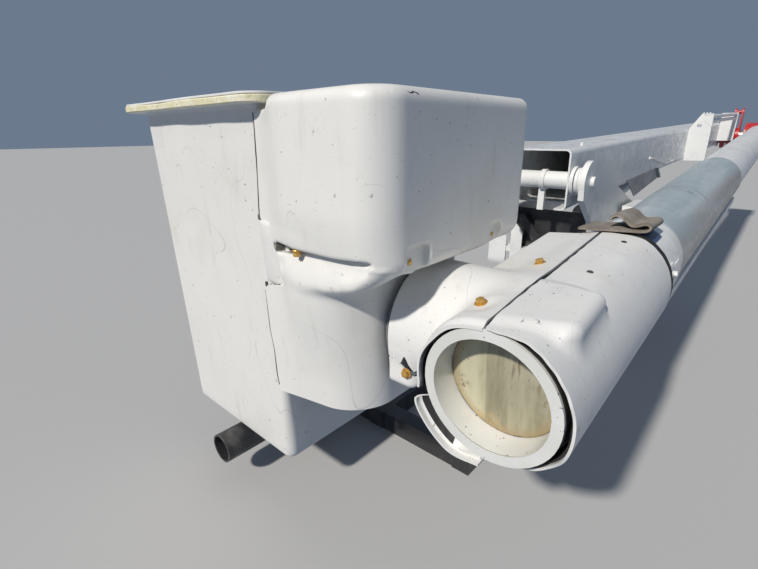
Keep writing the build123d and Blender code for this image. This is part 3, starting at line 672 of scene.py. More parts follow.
def make_liner():
    LW, LT = WALL + 0.001, 0.005
    zt = BZ1 + LIP_T + 0.0004
    st = []
    st.append(bucket_ring(-LW - 0.030, BZ0 + WALL + 0.0042, 0.012))
    for z in np.linspace(BZ0 + WALL + 0.020, BZ1 - 0.01, 8):
        st.append(bucket_ring(-LW, z, 0.024))
    st.append(bucket_ring(-LW, BZ1 + LIP_T - 0.010, 0.030, BZ1))
    st.append(bucket_ring(-LW + 0.004, zt, 0.040, BZ1))
    for off, dz, r in ((LIP_OUT - 0.006, 0.0, 0.056), (LIP_OUT - 0.004, 0.001, 0.057), (LIP_OUT - 0.004, 0.004, 0.057), (LIP_OUT - 0.006, 0.0055, 0.056)):
        rv = bucket_ring(off, zt + dz, r, BZ1)
        d = rv[:, :2] - np.array([(BX0 + BX1) / 2, (BY0 + BY1) / 2])
        ang = np.arctan2(d[:, 1], d[:, 0])
        rv[:, 2] += 0.0006 * (1 + np.sin(6 * ang + 0.6))
        st.append(rv)
    st.append(bucket_ring(0.006, zt + 0.0058, 0.046, BZ1))
    st.append(bucket_ring(-LW - 0.001, zt + 0.003, 0.034, BZ1))
    st.append(bucket_ring(-LW - LT, zt - 0.008, 0.028, BZ1))
    for z in np.linspace(BZ1 - 0.02, BZ0 + 0.05, 12):
        st.append(bucket_ring(-LW - LT, z, 0.020))
    st.append(bucket_ring(-LW - LT - 0.006, BZ0 + WALL + 0.016, 0.018))
    st.append(bucket_ring(-LW - LT - 0.022, BZ0 + WALL + 0.010, 0.012))
    return rings(st, (True, True))


def liner_mat():
    t = Mat("liner_plastic")
    col = t.mix(t.band(t.noise(3.0, 4.0), 0.35, 0.65), (0.80, 0.80, 0.77), (0.72, 0.71, 0.67))
    col = t.mix(t.f("MULTIPLY", t.band(t.noise(12.0, 6.0, 0.66), 0.50, 0.72), 0.4), col, (0.42, 0.38, 0.32))
    low = t.band(t.axis(2), 0.75, 0.22, 0.0, 0.45)
    col = t.mix(t.f("MULTIPLY", low, t.band(t.noise(20.0, 5.0, 0.7), 0.42, 0.62)), col, (0.30, 0.27, 0.23))
    scr = t.lines(7.0, 0.005, 4.0, 0.45)
    col = t.mix(t.f("MULTIPLY", scr, 0.4), col, (0.35, 0.33, 0.30))
    h = t.f("ADD", t.noise(130.0, 3.0), t.f("MULTIPLY", scr, -0.5))
    return t.done(col, t.band(t.noise(30.0, 3.0), 0.3, 0.7, 0.42, 0.6), t.bump(h, 0.3, 0.0006))


V, F = make_liner()
mesh_obj("bucket_inner_liner", V, F, liner_mat(), "platform", "liner_plastic", ("bucket_liner",))


# ---------------------------------------------------------------- console cover
def round_box2(P, x0, x1, y0, y1, r):
    cx, cy = (x0 + x1) / 2, (y0 + y1) / 2
    qx = np.abs(P[:, 0] - cx) - (x1 - x0) / 2 + r
    qy = np.abs(P[:, 1] - cy) - (y1 - y0) / 2 + r
    return np.hypot(np.maximum(qx, 0), np.maximum(qy, 0)) + np.minimum(np.maximum(qx, qy), 0) - r


def half(P, a, n):
    """Signed distance to the plane through a with outward direction n."""
    n = np.array(n, float)
    n /= np.linalg.norm(n)
    return (P - np.array(a)) @ n


CV_F, CV_X1 = 2.0805, 2.112                # flange on the bucket, front of the box
LIP_Y = np.array([-0.10, 0.00, 0.026, 0.076, 0.150, 0.194, 0.240, 0.280, 0.310, 0.40])
LIP_Z = np.array([0.860, 0.856, 0.853, 0.849, 0.850, 0.857, 0.870, 0.889, 0.912, 0.95])


# joint of the cover with the bucket: it runs round a notch beside the scoop
SEAM = np.array([(0.440, -0.072), (0.499, -0.075), (0.529, -0.080), (0.607, -0.083), (0.664, -0.093), (0.739, -0.096), (0.786, -0.099),
                 (0.794, -0.092), (0.798, -0.077), (0.801, -0.053), (0.806, -0.033), (0.815, -0.025), (0.830, -0.024), (0.857, -0.028),
                 (0.889, -0.037), (0.913, -0.045), (0.936, -0.057), (0.953, -0.066), (0.962, -0.078), (0.968, -0.090), (0.974, -0.093),
                 (1.004, -0.091), (1.016, -0.090), (1.111, -0.082), (1.179, -0.079), (1.30, -0.079)])


def front_x(y):
    """Front of the cover: the flange, then a ramp up to the box."""
    return CV_F + (CV_X1 - CV_F) * step(y, -0.072, 0.055)


def cover_sdf(P):
    x, y, z = P[:, 0], P[:, 1], P[:, 2]
    lift = step(y, -0.021, 0.007)
    top = 1.222 + 0.029 * lift
    fx = front_x(y) - 0.014 * (1 - step(z, 0.86, 1.02)) * step(y, -0.05, 0.04)
    # the boom-side box: wide front corner, tighter rear corner
    d2 = rmax(rmax(x - fx, y - 0.330, 0.084), 1.508 - x, 0.022)
    d2 = np.where(x < 1.62, rmax(rmax(1.508 - x, y - 0.330, 0.026), x - fx, 0.01), d2)
    d2 = np.maximum(d2, -0.30 - y)
    at_front = step(x, 1.97, 2.05)
    zb = 0.886 + (np.interp(y, LIP_Y, LIP_Z) - 0.022 - 0.886) * at_front
    A = rmax(rmax(d2, z - top, 0.007 + 0.021 * lift), zb - z, 0.030 + 0.022 * (1 - step(x, 1.58, 1.72)) - 0.006 * at_front)
    # skirt, leaning back towards its lower edge
    fill = 0.022 * step(y, -0.072, 0.03) * (z - 0.50) / 0.34 + 0.018 * step(y, -0.03, 0.07) * (1 - step(y, 0.15, 0.24)) * step(z, 0.55, 0.82)
    front = half(P, (2.0785, -0.067, 0), (0.1530, 0.0260, 0)) - fill
    B = rmax(front, y - 0.202, 0.110)
    B = rmax(B, 1.60 - x, 0.01)
    B = rmax(B, z - 0.95, 0.02)
    B = rmax(B, 0.40 - z, 0.01)
    f = smin(A, B, 0.026 + 0.038 * step(y, 0.12, 0.21))
    f = smax(f, x - fx - 0.0006, 0.006)
    roll = (np.interp(z, SEAM[:, 0], SEAM[:, 1]) - 0.001 - y) - 0.10 * (1 - step(z, 0.800, 0.812) * (1 - step(z, 0.950, 0.966)))
    f = rmax(f, roll, 0.020)
    # scoop under the front edge: steep lower wall, deep corner beside the bucket
    zl = np.interp(y, LIP_Y, LIP_Z)
    up_w = (z - 0.921 - 0.008 * step(y, 0.17, 0.30)) * 0.99 + 0.10 * (CV_X1 - x)
    lo_w = (CV_X1 - 0.0135 - (z - zl) / 2.5 - 0.006 * step(y, 0.17, 0.25) * step(z - zl, 0.004, 0.02) - x) * 0.93
    C = smax(up_w, lo_w, 0.006)
    left = -0.024 + 0.25 * (0.93 - z) - y
    C = rmax(C, left, 0.010)
    C = rmax(C, y - 0.300, 0.02)
    f = smax(f, -C, 0.007)
    E = rmax(rmax(left, y - 0.056 + 0.6 * (0.93 - z), 0.010), rmax(z - 0.923, 0.899 + 0.10 * y - z, 0.008), 0.006)
    E = rmax(E, 2.056 - x, 0.006)
    f = smax(f, -E, 0.006)
    dent = np.linalg.norm((P - np.array([2.099, -0.004, 0.876])) / np.array([1.0, 0.9, 1.6]), axis=1) - 0.013
    f = smax(f, -dent, 0.008)
    # bolt recesses in the lower edge of the boom side
    for x0, x1, zt, dep in ((1.944, 2.024, 0.949, 0.019), (1.622, 1.684, 0.948, 0.015)):
        D = rmax(rmax(x0 - x, x - x1, 0.014), z - zt, 0.016)
        D = rmax(D, 0.330 - dep + 0.16 * (x - x0) - y, 0.008)
        f = smax(f, -D, 0.007)
    # low border along the lower edge, from the recess to the front
    border = rmax(rmax(1.98 - x, x - 2.10, 0.01), np.abs(z - 0.893 - 0.20 * (x - 2.0)) - 0.004, 0.003)
    f = smin(f, rmax(border, f - 0.0018, 0.001), 0.004)
    return f


def seam_y(z):
    return np.interp(z, SEAM[:, 0], SEAM[:, 1])


def make_cover():
    V, Q = surface_nets(cover_sdf, (1.49, -0.16, 0.42), (2.135, 0.36, 1.28), 0.0056)
    V = settle(cover_sdf, V)
    T = tris(V, Q)
    V, T = clip(V, T, lambda P: 0.487 + 0.004 * np.sin(9 * P[:, 1]) - P[:, 2])
    V, T = clip(V, T, lambda P: seam_y(P[:, 2]) - P[:, 1])
    V, T = clip(V, T, lambda P: np.minimum(1.640 - P[:, 0], 0.878 - P[:, 2]))
    V, T = weld(V, T)
    V, T = biggest(V, T)
    N = grad(cover_sdf, V)
    return thicken(V, T, N, 0.006)


def bucket_gap(P):
    """Outside of the bucket, grown by 1.5 mm."""
    z = P[:, 2]
    g = TAPER * (z - BZ0) / (BZ1 - BZ0) + 0.0015
    cx, cy = (BX0 + BX1) / 2, (BY0 + BY1) / 2
    r = 0.034
    qx = np.abs(P[:, 0] - cx) - (BX1 - BX0) / 2 - g + r
    qy = np.abs(P[:, 1] - cy) - (BY1 - BY0) / 2 - g + r
    return np.hypot(np.maximum(qx, 0), np.maximum(qy, 0)) + np.minimum(np.maximum(qx, qy), 0) - r


V, F = make_cover()


def scuffs(t):
    """Brown rubbing under the scoop's lip."""
    place = t.f("MAXIMUM", t.dot((2.098, 0.200, 0.832), 0.018, 1.6), t.dot((2.092, 0.292, 0.868), 0.014, 1.2))
    marks = t.band(t.noise(1.0, 5.0, 0.75, t.scaled(70, 110, 300, (0.5, 0, 0))), 0.54, 0.66)
    return t.f("MULTIPLY", t.f("MULTIPLY", place, marks), 0.75), (0.26, 0.20, 0.15)


def crack(t):
    """Dark crack at the top of the boom side."""
    wavy = t.f("MULTIPLY", t.f("SUBTRACT", t.noise(90.0, 3.0), 0.5), 0.012)
    d = t.f("ABSOLUTE", t.f("SUBTRACT", t.f("ADD", t.axis(2), wavy), 1.2375))
    line = t.band(d, 0.0022, 0.0010)
    return t.f("MULTIPLY", line, t.within((1.990, 0.300, None), (2.020, None, None), 0.003)), (0.05, 0.045, 0.04)


def rubbed(t):
    """Grey smudges and short scratches on the front."""
    a = t.f("MAXIMUM", t.dot((2.112, 0.18, 1.185), 0.020, 0.8), t.dot((2.10, 0.285, 1.090), 0.012, 0.6))
    marks = t.band(t.noise(1.0, 5.0, 0.7, t.scaled(60, 260, 90, (0.7, 0, 0))), 0.54, 0.70)
    return t.f("MULTIPLY", t.f("MULTIPLY", a, marks), 0.6), (0.50, 0.47, 0.42)


def scoop_painted_shade(t):
    """Painted shade in the deep end of the scoop: a dark brown-grey patch for its shadowed inside."""
    return t.f("MULTIPLY", t.within((2.03, -0.045, 0.8990), (2.0915, 0.054, 0.9215), 0.0025), t.band(t.noise(30.0, 3.0), 0.30, 0.60, 0.80, 0.97)), (0.125, 0.110, 0.092)


M_COVER = gelcoat("console_gelcoat", (0.81, 0.795, 0.75), specks=0.55, extra=[scuffs, crack, rubbed, scoop_painted_shade])
mesh_obj("console_shell", V, F, M_COVER, "platform", "white_gelcoat", ("console_cover",), sharp=50)


def sweep(path, r, sides=6, ends=True):
    """Round bar of radius r along a list of points."""
    pts = [np.array(p, float) for p in path]
    st = []
    for i, c in enumerate(pts):
        d = pts[min(i + 1, len(pts) - 1)] - pts[max(i - 1, 0)]
        d = d / np.linalg.norm(d)
        a = np.array([1.0, 0, 0]) if abs(d[0]) < 0.9 else np.array([0, 0, 1.0])
        u = np.cross(d, a)
        u = u / np.linalg.norm(u)
        w = np.cross(u, d)
        st.append(np.array([c + r * (math.cos(t) * u + math.sin(t) * w) for t in np.linspace(0, 2 * math.pi, sides + 1)[:-1]]))
    return rings(st, (True, True))


# black sealant in the joint, two dark blobs of painted shade for the shaded holes at the notch's corners, and the
# bucket's own moulded rib behind the notch
def joint_bead():
    out = []
    for z0, z1, r in ((0.500, 0.783, 0.0026), (0.978, 1.218, 0.0026)):
        out.append(sweep([(float(front_x(seam_y(z))) - 0.0045, float(seam_y(z)) - 0.0050 + 0.0006 * math.sin(43 * z), z) for z in np.arange(z0, z1, 0.0045)], r, 6))
    # painted shade: dark blobs standing in for the shaded holes at both ends of the notch
    for y, z in ((-0.0935, 0.7975), (-0.0970, 0.9735)):
        out.append(sweep([(2.0775, y, z - 0.006), (2.0785, y, z - 0.002), (2.0785, y, z + 0.003), (2.0775, y, z + 0.006)], 0.0040, 8))
    return join(out)


M_SEAL = rubber("joint_sealant", (0.045, 0.042, 0.038), (0.30, 0.28, 0.24), 0.6)
mesh_obj("console_joint", *joint_bead(), M_SEAL, "platform", "belting")


def rib():
    st = []
    for z, s in ((0.802, 0.55), (0.805, 0.85), (0.812, 1.0), (0.86, 1.0), (0.92, 1.0), (0.955, 1.0), (0.962, 0.85), (0.966, 0.55)):
        row = []
        for k in range(15):
            t = k / 14
            y = -0.104 + 0.100 * t
            bulge = 0.0105 * math.sin(math.pi * min(1.0, t * 1.15 + 0.05)) ** 0.6 * s if t < 0.83 else 0.002
            row.append((2.0645 + 0.010 * (z - 0.80) / 0.16 + bulge - 0.016 * max(0.0, t - 0.45), y, z))
        row += [(2.050, -0.004, z), (2.050, -0.104, z)]
        st.append(np.array(row))
    return rings(st, (True, True))


mesh_obj("bucket_side_rib", *rib(), M_GEL, "platform", "white_gelcoat")
V, F = join([bolt((2.092, 0.064, 0.9160), (0.1, 0, -1), 0.017, 0.012, 0.012, 0.002), bolt((2.004, 0.3185, 0.916), (0.1, 1, 0), 0.011, 0.004, 0.010, 0.0015),
             bolt((1.655, 0.3175, 0.916), (0, 1, 0), 0.011, 0.004, 0.010, 0.0015)])
mesh_obj("console_bolts", V, F, M_GOLD, "platform", "pin_steel")


# ---------------------------------------------------------------- tip covers
AX = np.array([math.cos(math.radians(3.4)), 0, -math.sin(math.radians(3.4))])     # towards the open end
REAR_X = 1.345


def tube_d(P):
    """Distance from the round boom's axis."""
    return np.hypot(P[:, 1] - UB_Y, (P[:, 2] - tube_z(P[:, 0])) * AX[0])


def along(P):
    return (P - np.array([RING_X, UB_Y, RING_Z])) @ AX


def seam_x(x):
    """Y of the joint between the two covers, a straight line; the left cover's cut adds a jog beside the hump."""
    return 0.529 - 0.037 * (RING_X - x)


def right_sdf(P):
    x, y, z = P[:, 0], P[:, 1], P[:, 2]
    zc = tube_z(x)
    f = smax(tube_d(P) - 0.1585, z - zc - 0.1475, 0.012)
    pad = rmax(rmax(z - zc - 0.1530, y - 0.668 + 0.05 * (RING_X - x), 0.022), 1.795 - x, 0.030)
    pad = rmax(pad, 0.93 * (x - 2.026) + 0.37 * (y - 0.590), 0.030)
    pad = rmax(pad, zc + 0.02 - z, 0.01)
    pad = rmax(pad, 0.50 - y, 0.01)
    f = smin(f, pad, 0.016)
    return f


def left_sdf(P):
    x, y, z = P[:, 0], P[:, 1], P[:, 2]
    zc = tube_z(x)
    th = np.degrees(np.arctan2(y - UB_Y, z - zc))                     # 0 on top, -90 on the drum side
    al = along(P)
    r = 0.1500 + 0.0085 * step(-th, 6, 40) - 0.0085 * (1 - step(-th, 50, 80)) * step(al, -0.022, 0.0) ** 1.5
    r = r + 0.022 * step(-th, 97, 118) * step(al, -0.030, -0.004) * (1 - step(-th, 150, 178))
    f = tube_d(P) - r
    drum = rmax(np.hypot(x - TIP_X, z - TIP_Z) - 0.165, y - 0.52, 0.01)
    drum = rmax(drum, 0.15 - y, 0.01)
    tab = rmax(rmax(x - 1.9585, 1.86 - x, 0.01), 0.5745 - z, 0.020)
    tab = rmax(tab, z - 0.68, 0.01)
    tab = rmax(tab, y - 0.308, 0.03)
    tab = rmax(tab, 0.15 - y, 0.01)
    drum = smin(drum, tab, 0.012)
    zl = 0.8725 - 0.097 * (x - 1.355)
    zr = zc + 0.1405
    plate = (z - (zl + (zr - zl) * (y - 0.345) / 0.170)) * 0.98
    box = rmax(rmax(plate, 0.3435 - y, 0.016), x - 1.80, 0.02)
    box = rmax(box, 0.600 - z, 0.02)
    box = rmax(box, y - 0.56, 0.01)
    f = smin(f, drum, 0.026)
    f = smin(f, box, 0.014)
    # seat of the front bolt
    seat = np.linalg.norm((P - np.array([1.968, 0.462, 0.874])) / np.array([1.2, 1.0, 1.0]), axis=1) - 0.034
    return smax(f, -seat, 0.020)


UP_EDGE = np.array([(0.20, 0.657), (0.222, 0.655), (0.245, 0.648), (0.262, 0.641), (0.268, 0.650), (0.276, 0.668), (0.281, 0.664), (0.288, 0.646), (0.300, 0.628), (0.312, 0.640), (0.340, 0.668), (0.60, 0.676)])
LOW_EDGE = np.array([(0.20, 0.651), (0.222, 0.650), (0.257, 0.640), (0.278, 0.628), (0.302, 0.612), (0.318, 0.612), (0.345, 0.640), (0.60, 0.652)])


def shell(f, lo, hi, h, cuts, t=0.005, push=None):
    V, Q = surface_nets(f, lo, hi, h)
    V = settle(f, V)
    T = tris(V, Q)
    for c in cuts:
        V, T = clip(V, T, c)
    V, T = weld(V, T)
    V, T = biggest(V, T)
    N = grad(f, V)
    return thicken(V, T, N, t)


def rough_edge(P, amp=0.0012):
    return amp * (np.sin(60 * P[:, 1] + 40 * P[:, 2]) + 0.6 * np.sin(170 * P[:, 1] - 90 * P[:, 2]))


M_TIP = gelcoat("tip_gelcoat", (0.80, 0.79, 0.76), (0.72, 0.69, 0.60))
H_TIP = 0.0048
V, F = shell(right_sdf, (1.30, 0.47, 0.50), (2.09, 0.74, 0.95), H_TIP, [
    lambda P: along(P) - 0.004 + 0.030 * step(-(P[:, 2] - tube_z(P[:, 0])), 0.02, 0.15) + rough_edge(P),
    lambda P: REAR_X - P[:, 0] + rough_edge(P, 0.0008),
    lambda P: np.where(P[:, 2] > 0.70, seam_x(P[:, 0]) + 0.0040 + rough_edge(P[:, [1, 0, 0]], 0.0005) - P[:, 1], 0.556 - P[:, 1])])
mesh_obj("tip_shell_right", V, F, M_TIP, "upper_boom", "white_gelcoat", ("tip_cover_right",), sharp=50)
V, F = shell(left_sdf, (1.30, 0.18, 0.50), (2.09, 0.57, 0.95), H_TIP, [
    lambda P: along(P) - 0.002,
    lambda P: REAR_X - P[:, 0] + rough_edge(P, 0.0006),
    lambda P: 0.2285 - P[:, 1],
    lambda P: P[:, 1] - seam_x(P[:, 0]) + 0.0040 + 0.0030 * step(P[:, 0], 1.835, 1.865) * (1 - step(P[:, 0], 1.90, 2.02)),
    lambda P: np.interp(P[:, 1], UP_EDGE[:, 0], UP_EDGE[:, 1]) - P[:, 2]])
mesh_obj("tip_shell_left", V, F, M_TIP, "upper_boom", "white_gelcoat", ("tip_cover_left",), sharp=50)
V, F = shell(left_sdf, (1.30, 0.18, 0.46), (2.09, 0.57, 0.70), H_TIP, [
    lambda P: along(P) - 0.003 - 0.004 * step(-np.degrees(np.arctan2(P[:, 1] - UB_Y, P[:, 2] - tube_z(P[:, 0]))), 100, 120),
    lambda P: REAR_X - P[:, 0],
    lambda P: 0.2285 - P[:, 1],
    lambda P: P[:, 1] - 0.531,
    lambda P: P[:, 2] - np.interp(P[:, 1], LOW_EDGE[:, 0], LOW_EDGE[:, 1])])
mesh_obj("tip_shell_lower", V, F, M_TIP, "upper_boom", "white_gelcoat", ("tip_cover_lower",), sharp=50)


def ub_frame(x, r, th):
    """Point on a tube about the boom's axis, th degrees from the top towards +Y."""
    a = math.radians(th)
    c = np.array([x, UB_Y, tube_z(x)])
    return c + r * (math.sin(a) * np.array([0, 1, 0]) + math.cos(a) * np.array([-AX[2], 0, AX[0]]))


# painted shade: black sheets standing in for the shade in the gaps under the joint of the covers, at their rear ends
# and round the end face
def gap_shade_strip(x0, x1, th0, th1, r0, r1, nx=24, nt=10):
    st = []
    for i in range(nx + 1):
        x = x0 + (x1 - x0) * i / nx
        a0, a1 = (th0(x), th1(x)) if callable(th0) else (th0, th1)
        ringv = [ub_frame(x, r1 + 0.0003 * math.sin(7.0 * k + 3.0 * i), a0 + (a1 - a0) * k / nt) for k in range(nt + 1)]
        ringv += [ub_frame(x, r0, a1 - (a1 - a0) * k / nt) for k in range(nt + 1)]
        st.append(np.array(ringv))
    return rings(st, (True, True))


def gap_shade_ring(x0, x1, r0, r1, seg=96):
    st = []
    for x, r in ((x0, r0), (x0, r1 - 0.001), (x0 + 0.001, r1), (x1 - 0.001, r1), (x1, r1 - 0.001), (x1, r0)):
        st.append(np.array([ub_frame(x, r + 0.0003 * math.sin(11 * k), 360 * k / seg) for k in range(seg)]))
    return rings(st, (False, False), wrap=True)




def th_seam(x):
    return math.degrees(math.asin((seam_x(x) - UB_Y) / 0.143))


# painted shade: a near-black material for the sheets that stand in for shade in the gaps
M_GAP_SHADE = rubber("gap_shade_black", (0.012, 0.012, 0.013), (0.10, 0.09, 0.08), 0.25)
mesh_obj("tip_seam_gap_shade", *gap_shade_strip(1.352, 2.028, lambda x: th_seam(x) - 1.9, lambda x: th_seam(x) + 1.9, 0.1392, 0.1458), M_GAP_SHADE, "upper_boom", "belting")
mesh_obj("tip_rear_gap_shade", *gap_shade_ring(1.312, 1.372, 0.1392, 0.1440), M_GAP_SHADE, "upper_boom", "belting")
# painted shade: a black sheet inside the right cover's rear end, for the shade in the gap there
V, F = shell(lambda P: right_sdf(P) + 0.0020, (1.29, 0.47, 0.50), (1.38, 0.74, 0.95), 0.0050, [
    lambda P: P[:, 0] - 1.3445, lambda P: 1.311 + rough_edge(P, 0.0015) - P[:, 0], lambda P: 0.545 - P[:, 1], lambda P: 0.70 - P[:, 2]], 0.004)
mesh_obj("tip_rear_gap_shade_sheet", V, F, M_GAP_SHADE, "upper_boom", "belting")
# painted shade: black sheets inside the covers' front rims, for the shade between the covers and the tube
V, F = shell(lambda P: right_sdf(P) + 0.0056, (1.96, 0.47, 0.50), (2.09, 0.74, 0.95), 0.0045, [
    lambda P: along(P) + 0.006 + 0.030 * step(-(P[:, 2] - tube_z(P[:, 0])), 0.02, 0.15), lambda P: -0.062 - along(P),
    lambda P: np.where(P[:, 2] > 0.70, seam_x(P[:, 0]) - P[:, 1], 0.556 - P[:, 1])], 0.004)
mesh_obj("tip_rim_shade_sheet_right", V, F, M_GAP_SHADE, "upper_boom", "belting")
V, F = shell(lambda P: left_sdf(P) + 0.0056, (1.96, 0.30, 0.50), (2.09, 0.57, 0.95), 0.0045, [
    lambda P: along(P) + 0.005, lambda P: -0.050 - along(P), lambda P: P[:, 1] - seam_x(P[:, 0]),
    lambda P: np.interp(P[:, 1], UP_EDGE[:, 0], UP_EDGE[:, 1]) - P[:, 2]], 0.004)
mesh_obj("tip_rim_shade_sheet_left", V, F, M_GAP_SHADE, "upper_boom", "belting")
V, F = shell(lambda P: left_sdf(P) + 0.0056, (1.96, 0.30, 0.46), (2.09, 0.57, 0.70), 0.0045, [
    lambda P: along(P) + 0.010, lambda P: -0.050 - along(P), lambda P: P[:, 1] - 0.462,
    lambda P: P[:, 2] - np.interp(P[:, 1], LOW_EDGE[:, 0], LOW_EDGE[:, 1]), lambda P: 0.335 - P[:, 1]], 0.004)
mesh_obj("tip_rim_shade_sheet_lower", V, F, M_GAP_SHADE, "upper_boom", "belting")
V, F = shell(lambda P: left_sdf(P) + 0.0052, (1.96, 0.43, 0.46), (2.09, 0.57, 0.70), 0.0045, [
    lambda P: along(P) + 0.0075 + 0.05 * step(-P[:, 1], -0.480, -0.455), lambda P: -0.070 - along(P), lambda P: P[:, 1] - 0.529,
    lambda P: P[:, 2] - np.interp(P[:, 1], LOW_EDGE[:, 0], LOW_EDGE[:, 1]), lambda P: 0.450 - P[:, 1]], 0.0085)
mesh_obj("tip_lip_lower", V, F, M_TIP, "upper_boom", "white_gelcoat")
# painted shade: black rings on the tube behind the end face, for the shade in the gap under the covers
mesh_obj("tip_front_gap_shade", *join([gap_shade_ring(1.992, 2.014, 0.1392, 0.1436), gap_shade_ring(2.0142, 2.0440, 0.1388, 0.1403)]), M_GAP_SHADE, "upper_boom", "belting")

V, F = join([bolt((1.9414, 0.4566, 0.8421), (0.279, -0.196, 0.94), 0.017, 0.009, 0.014, 0.002, 0.5), bolt((1.6736, 0.4636, 0.8679), (0.06, -0.308, 0.949), 0.017, 0.009, 0.014, 0.002),
             bolt((1.9590, 0.282, 0.622), (1, 0, 0), 0.017, 0.009, 0.0135, 0.002, 0.4)])
mesh_obj("tip_bolts", V, F, M_GOLD, "upper_boom", "pin_steel")


def plug(at, axis, k=1.0):
    return lathe([(0.0074 * k, -0.003), (0.0072 * k, 0.0006), (0.0062 * k, 0.0018), (0.0030 * k, 0.0022)], 20, axis, at)


V, F = join([plug((1.695, 0.5846, 0.8745), (0.059, 0.091, 0.994)), plug((1.42, 0.5816, 0.8912), (0.059, 0.075, 0.995))])
mesh_obj("tip_plugs", V, F, M_RUBBER, "upper_boom", "belting")
V, F = plug((2.0046, 0.5973, 0.8638), (0.059, 0.09, 0.994), 0.6)
mesh_obj("tip_screw", V, F, M_WHITE, "upper_boom", "white_paint")


# ---------------------------------------------------------------- collar with a plain blue plate, a clip and a bolt
def blue_plate():
    st = []
    for i in range(9):
        x = 1.186 + 0.088 * i / 8
        lo_, hi_ = 20.0 + 3.0 * (1 - i / 8), 38.0 + 0.0 * i
        top = [ub_frame(x, 0.1463, lo_ + (hi_ - lo_) * k / 8) for k in range(9)]
        low = [ub_frame(x, 0.1445, hi_ - (hi_ - lo_) * k / 8) for k in range(9)]
        st.append(np.array(top + low))
    return rings(st, (True, True))


M_BLUE = painted("blue_plate", (0.040, 0.075, 0.16), rough=0.35, dirt=(0.20, 0.20, 0.20), dirt_amt=0.25, chip=(0.30, 0.32, 0.36), edge=0.003)
mesh_obj("collar_blue_plate", *blue_plate(), M_BLUE, "upper_boom", "white_paint")


def slab_on_tube(x0, x1, r0, r1, a0, a1, n=6):
    st = []
    for x in (x0, x0 + 0.001, x1 - 0.001, x1):
        k_ = 0.0008 if x in (x0, x1) else 0.0
        st.append(np.array([ub_frame(x, r1 - k_, a0 + (a1 - a0) * k / n) for k in range(n + 1)] + [ub_frame(x, r0, a1 - (a1 - a0) * k / n) for k in range(n + 1)]))
    return rings(st, (True, True))


V, F = join([slab_on_tube(1.235, 1.298, 0.1445, 0.1505, 66.5, 71.5), slab_on_tube(1.150, 1.312, 0.1440, 0.1475, 71.5, 86)])
mesh_obj("collar_clip", V, F, M_WHITE, "upper_boom", "white_paint")
V, F = bolt(tuple(ub_frame(1.252, 0.1475, 79)), tuple(ub_frame(1.252, 1.1475, 79) - ub_frame(1.252, 0.1475, 79)), 0.016, 0.009, 0.012, 0.002)
mesh_obj("collar_bolt", V, F, M_WHITE, "upper_boom", "pin_steel")


# ---------------------------------------------------------------- on the box boom: sheet guard, bent rod, lug, bracket's comb
def plate_xz_mesh(pts, y0, y1, e=0.0012):
    """Plate with a bevelled outer face, its outline given in X and Z."""
    c = np.mean(pts, axis=0)
    st = []
    for y, k in ((y0, 0.0), (y1 - e, 0.0), (y1, e)):
        st.append(np.array([(p_[0] + (c[0] - p_[0]) * k / np.hypot(*(c - p_)), y, p_[1] + (c[1] - p_[1]) * k / np.hypot(*(c - p_))) for p_ in np.array(pts, float)]))
    return rings(st, (True, True))


# the guard's grey is partly dust, partly painted shade: a mid grey for a plate in shade on the boom's side
M_GUARD_DUST_AND_SHADE = painted("guard_grey_dust_and_shade", (0.30, 0.31, 0.32), rough=0.45, dirt=(0.16, 0.14, 0.12), dirt_amt=0.55, chip=(0.12, 0.11, 0.10))
V, F = join([plate_xz_mesh([(-0.362, 0.884), (-1.129, 0.912), (-1.264, 0.835), (-0.612, 0.762)], 0.150, 0.154),
             plate_xz_mesh([(-1.129, 0.912), (-1.165, 0.912), (-1.300, 0.838), (-1.264, 0.833)], 0.148, 0.166)])
mesh_obj("boom_side_guard", V, F, M_GUARD_DUST_AND_SHADE, "lower_boom", "grey_paint")
V, F = join([sweep([(-0.884, 0.150, 0.990), (-0.884, 0.164, 0.990), (-0.96, 0.166, 0.980), (-1.345, 0.166, 0.935), (-1.50, 0.166, 0.936), (-1.700, 0.166, 0.939), (-1.711, 0.150, 0.939)], 0.0055, 8),
             lathe([(0.012, -0.002), (0.012, 0.003), (0.009, 0.007)], 14, (0, 1, 0), (-0.884, 0.150, 0.990)),
             lathe([(0.008, -0.002), (0.008, 0.006), (0.0095, 0.008), (0.0095, 0.012), (0.006, 0.014)], 14, (0.03, 0, 1), (0.34, 0.090, 1.104))])
mesh_obj("boom_side_rod", V, F, M_WHITE, "lower_boom", "white_paint")
V, F = join([rings([np.array([(-2.290, y - 0.0035, 1.26), (-2.270, y - 0.0035, 1.26), (-2.270, y + 0.0035, 1.26), (-2.290, y + 0.0035, 1.26)]),
                    np.array([(-2.290, y - 0.0035, 1.300), (-2.268, y - 0.0035, 1.300), (-2.268, y + 0.0035, 1.300), (-2.290, y + 0.0035, 1.300)]),
                    np.array([(-2.284, y - 0.0025, 1.318), (-2.274, y - 0.0025, 1.318), (-2.274, y + 0.0025, 1.318), (-2.284, y + 0.0025, 1.318)])], (True, True)) for y in (0.231, 0.254, 0.277)])
mesh_obj("line_bracket_comb", V, F, M_WHITE, "lower_boom", "white_paint")


# ---------------------------------------------------------------- folded belting on the collar
BELT_W, BELT_T = 0.150, 0.0076
BELT = np.array([(0.446, 0.9030), (0.480, 0.9030), (0.520, 0.9040), (0.560, 0.9044), (0.590, 0.9046), (0.604, 0.9052), (0.614, 0.9075), (0.6205, 0.9120),
                 (0.6225, 0.9175), (0.6195, 0.9235), (0.6110, 0.9265), (0.6000, 0.9245), (0.5900, 0.9205), (0.5800, 0.9180), (0.5710, 0.9200),
                 (0.5630, 0.9270), (0.5550, 0.9350), (0.5450, 0.9410), (0.5340, 0.9425), (0.5240, 0.9390), (0.5180, 0.9320), (0.5165, 0.9250)])


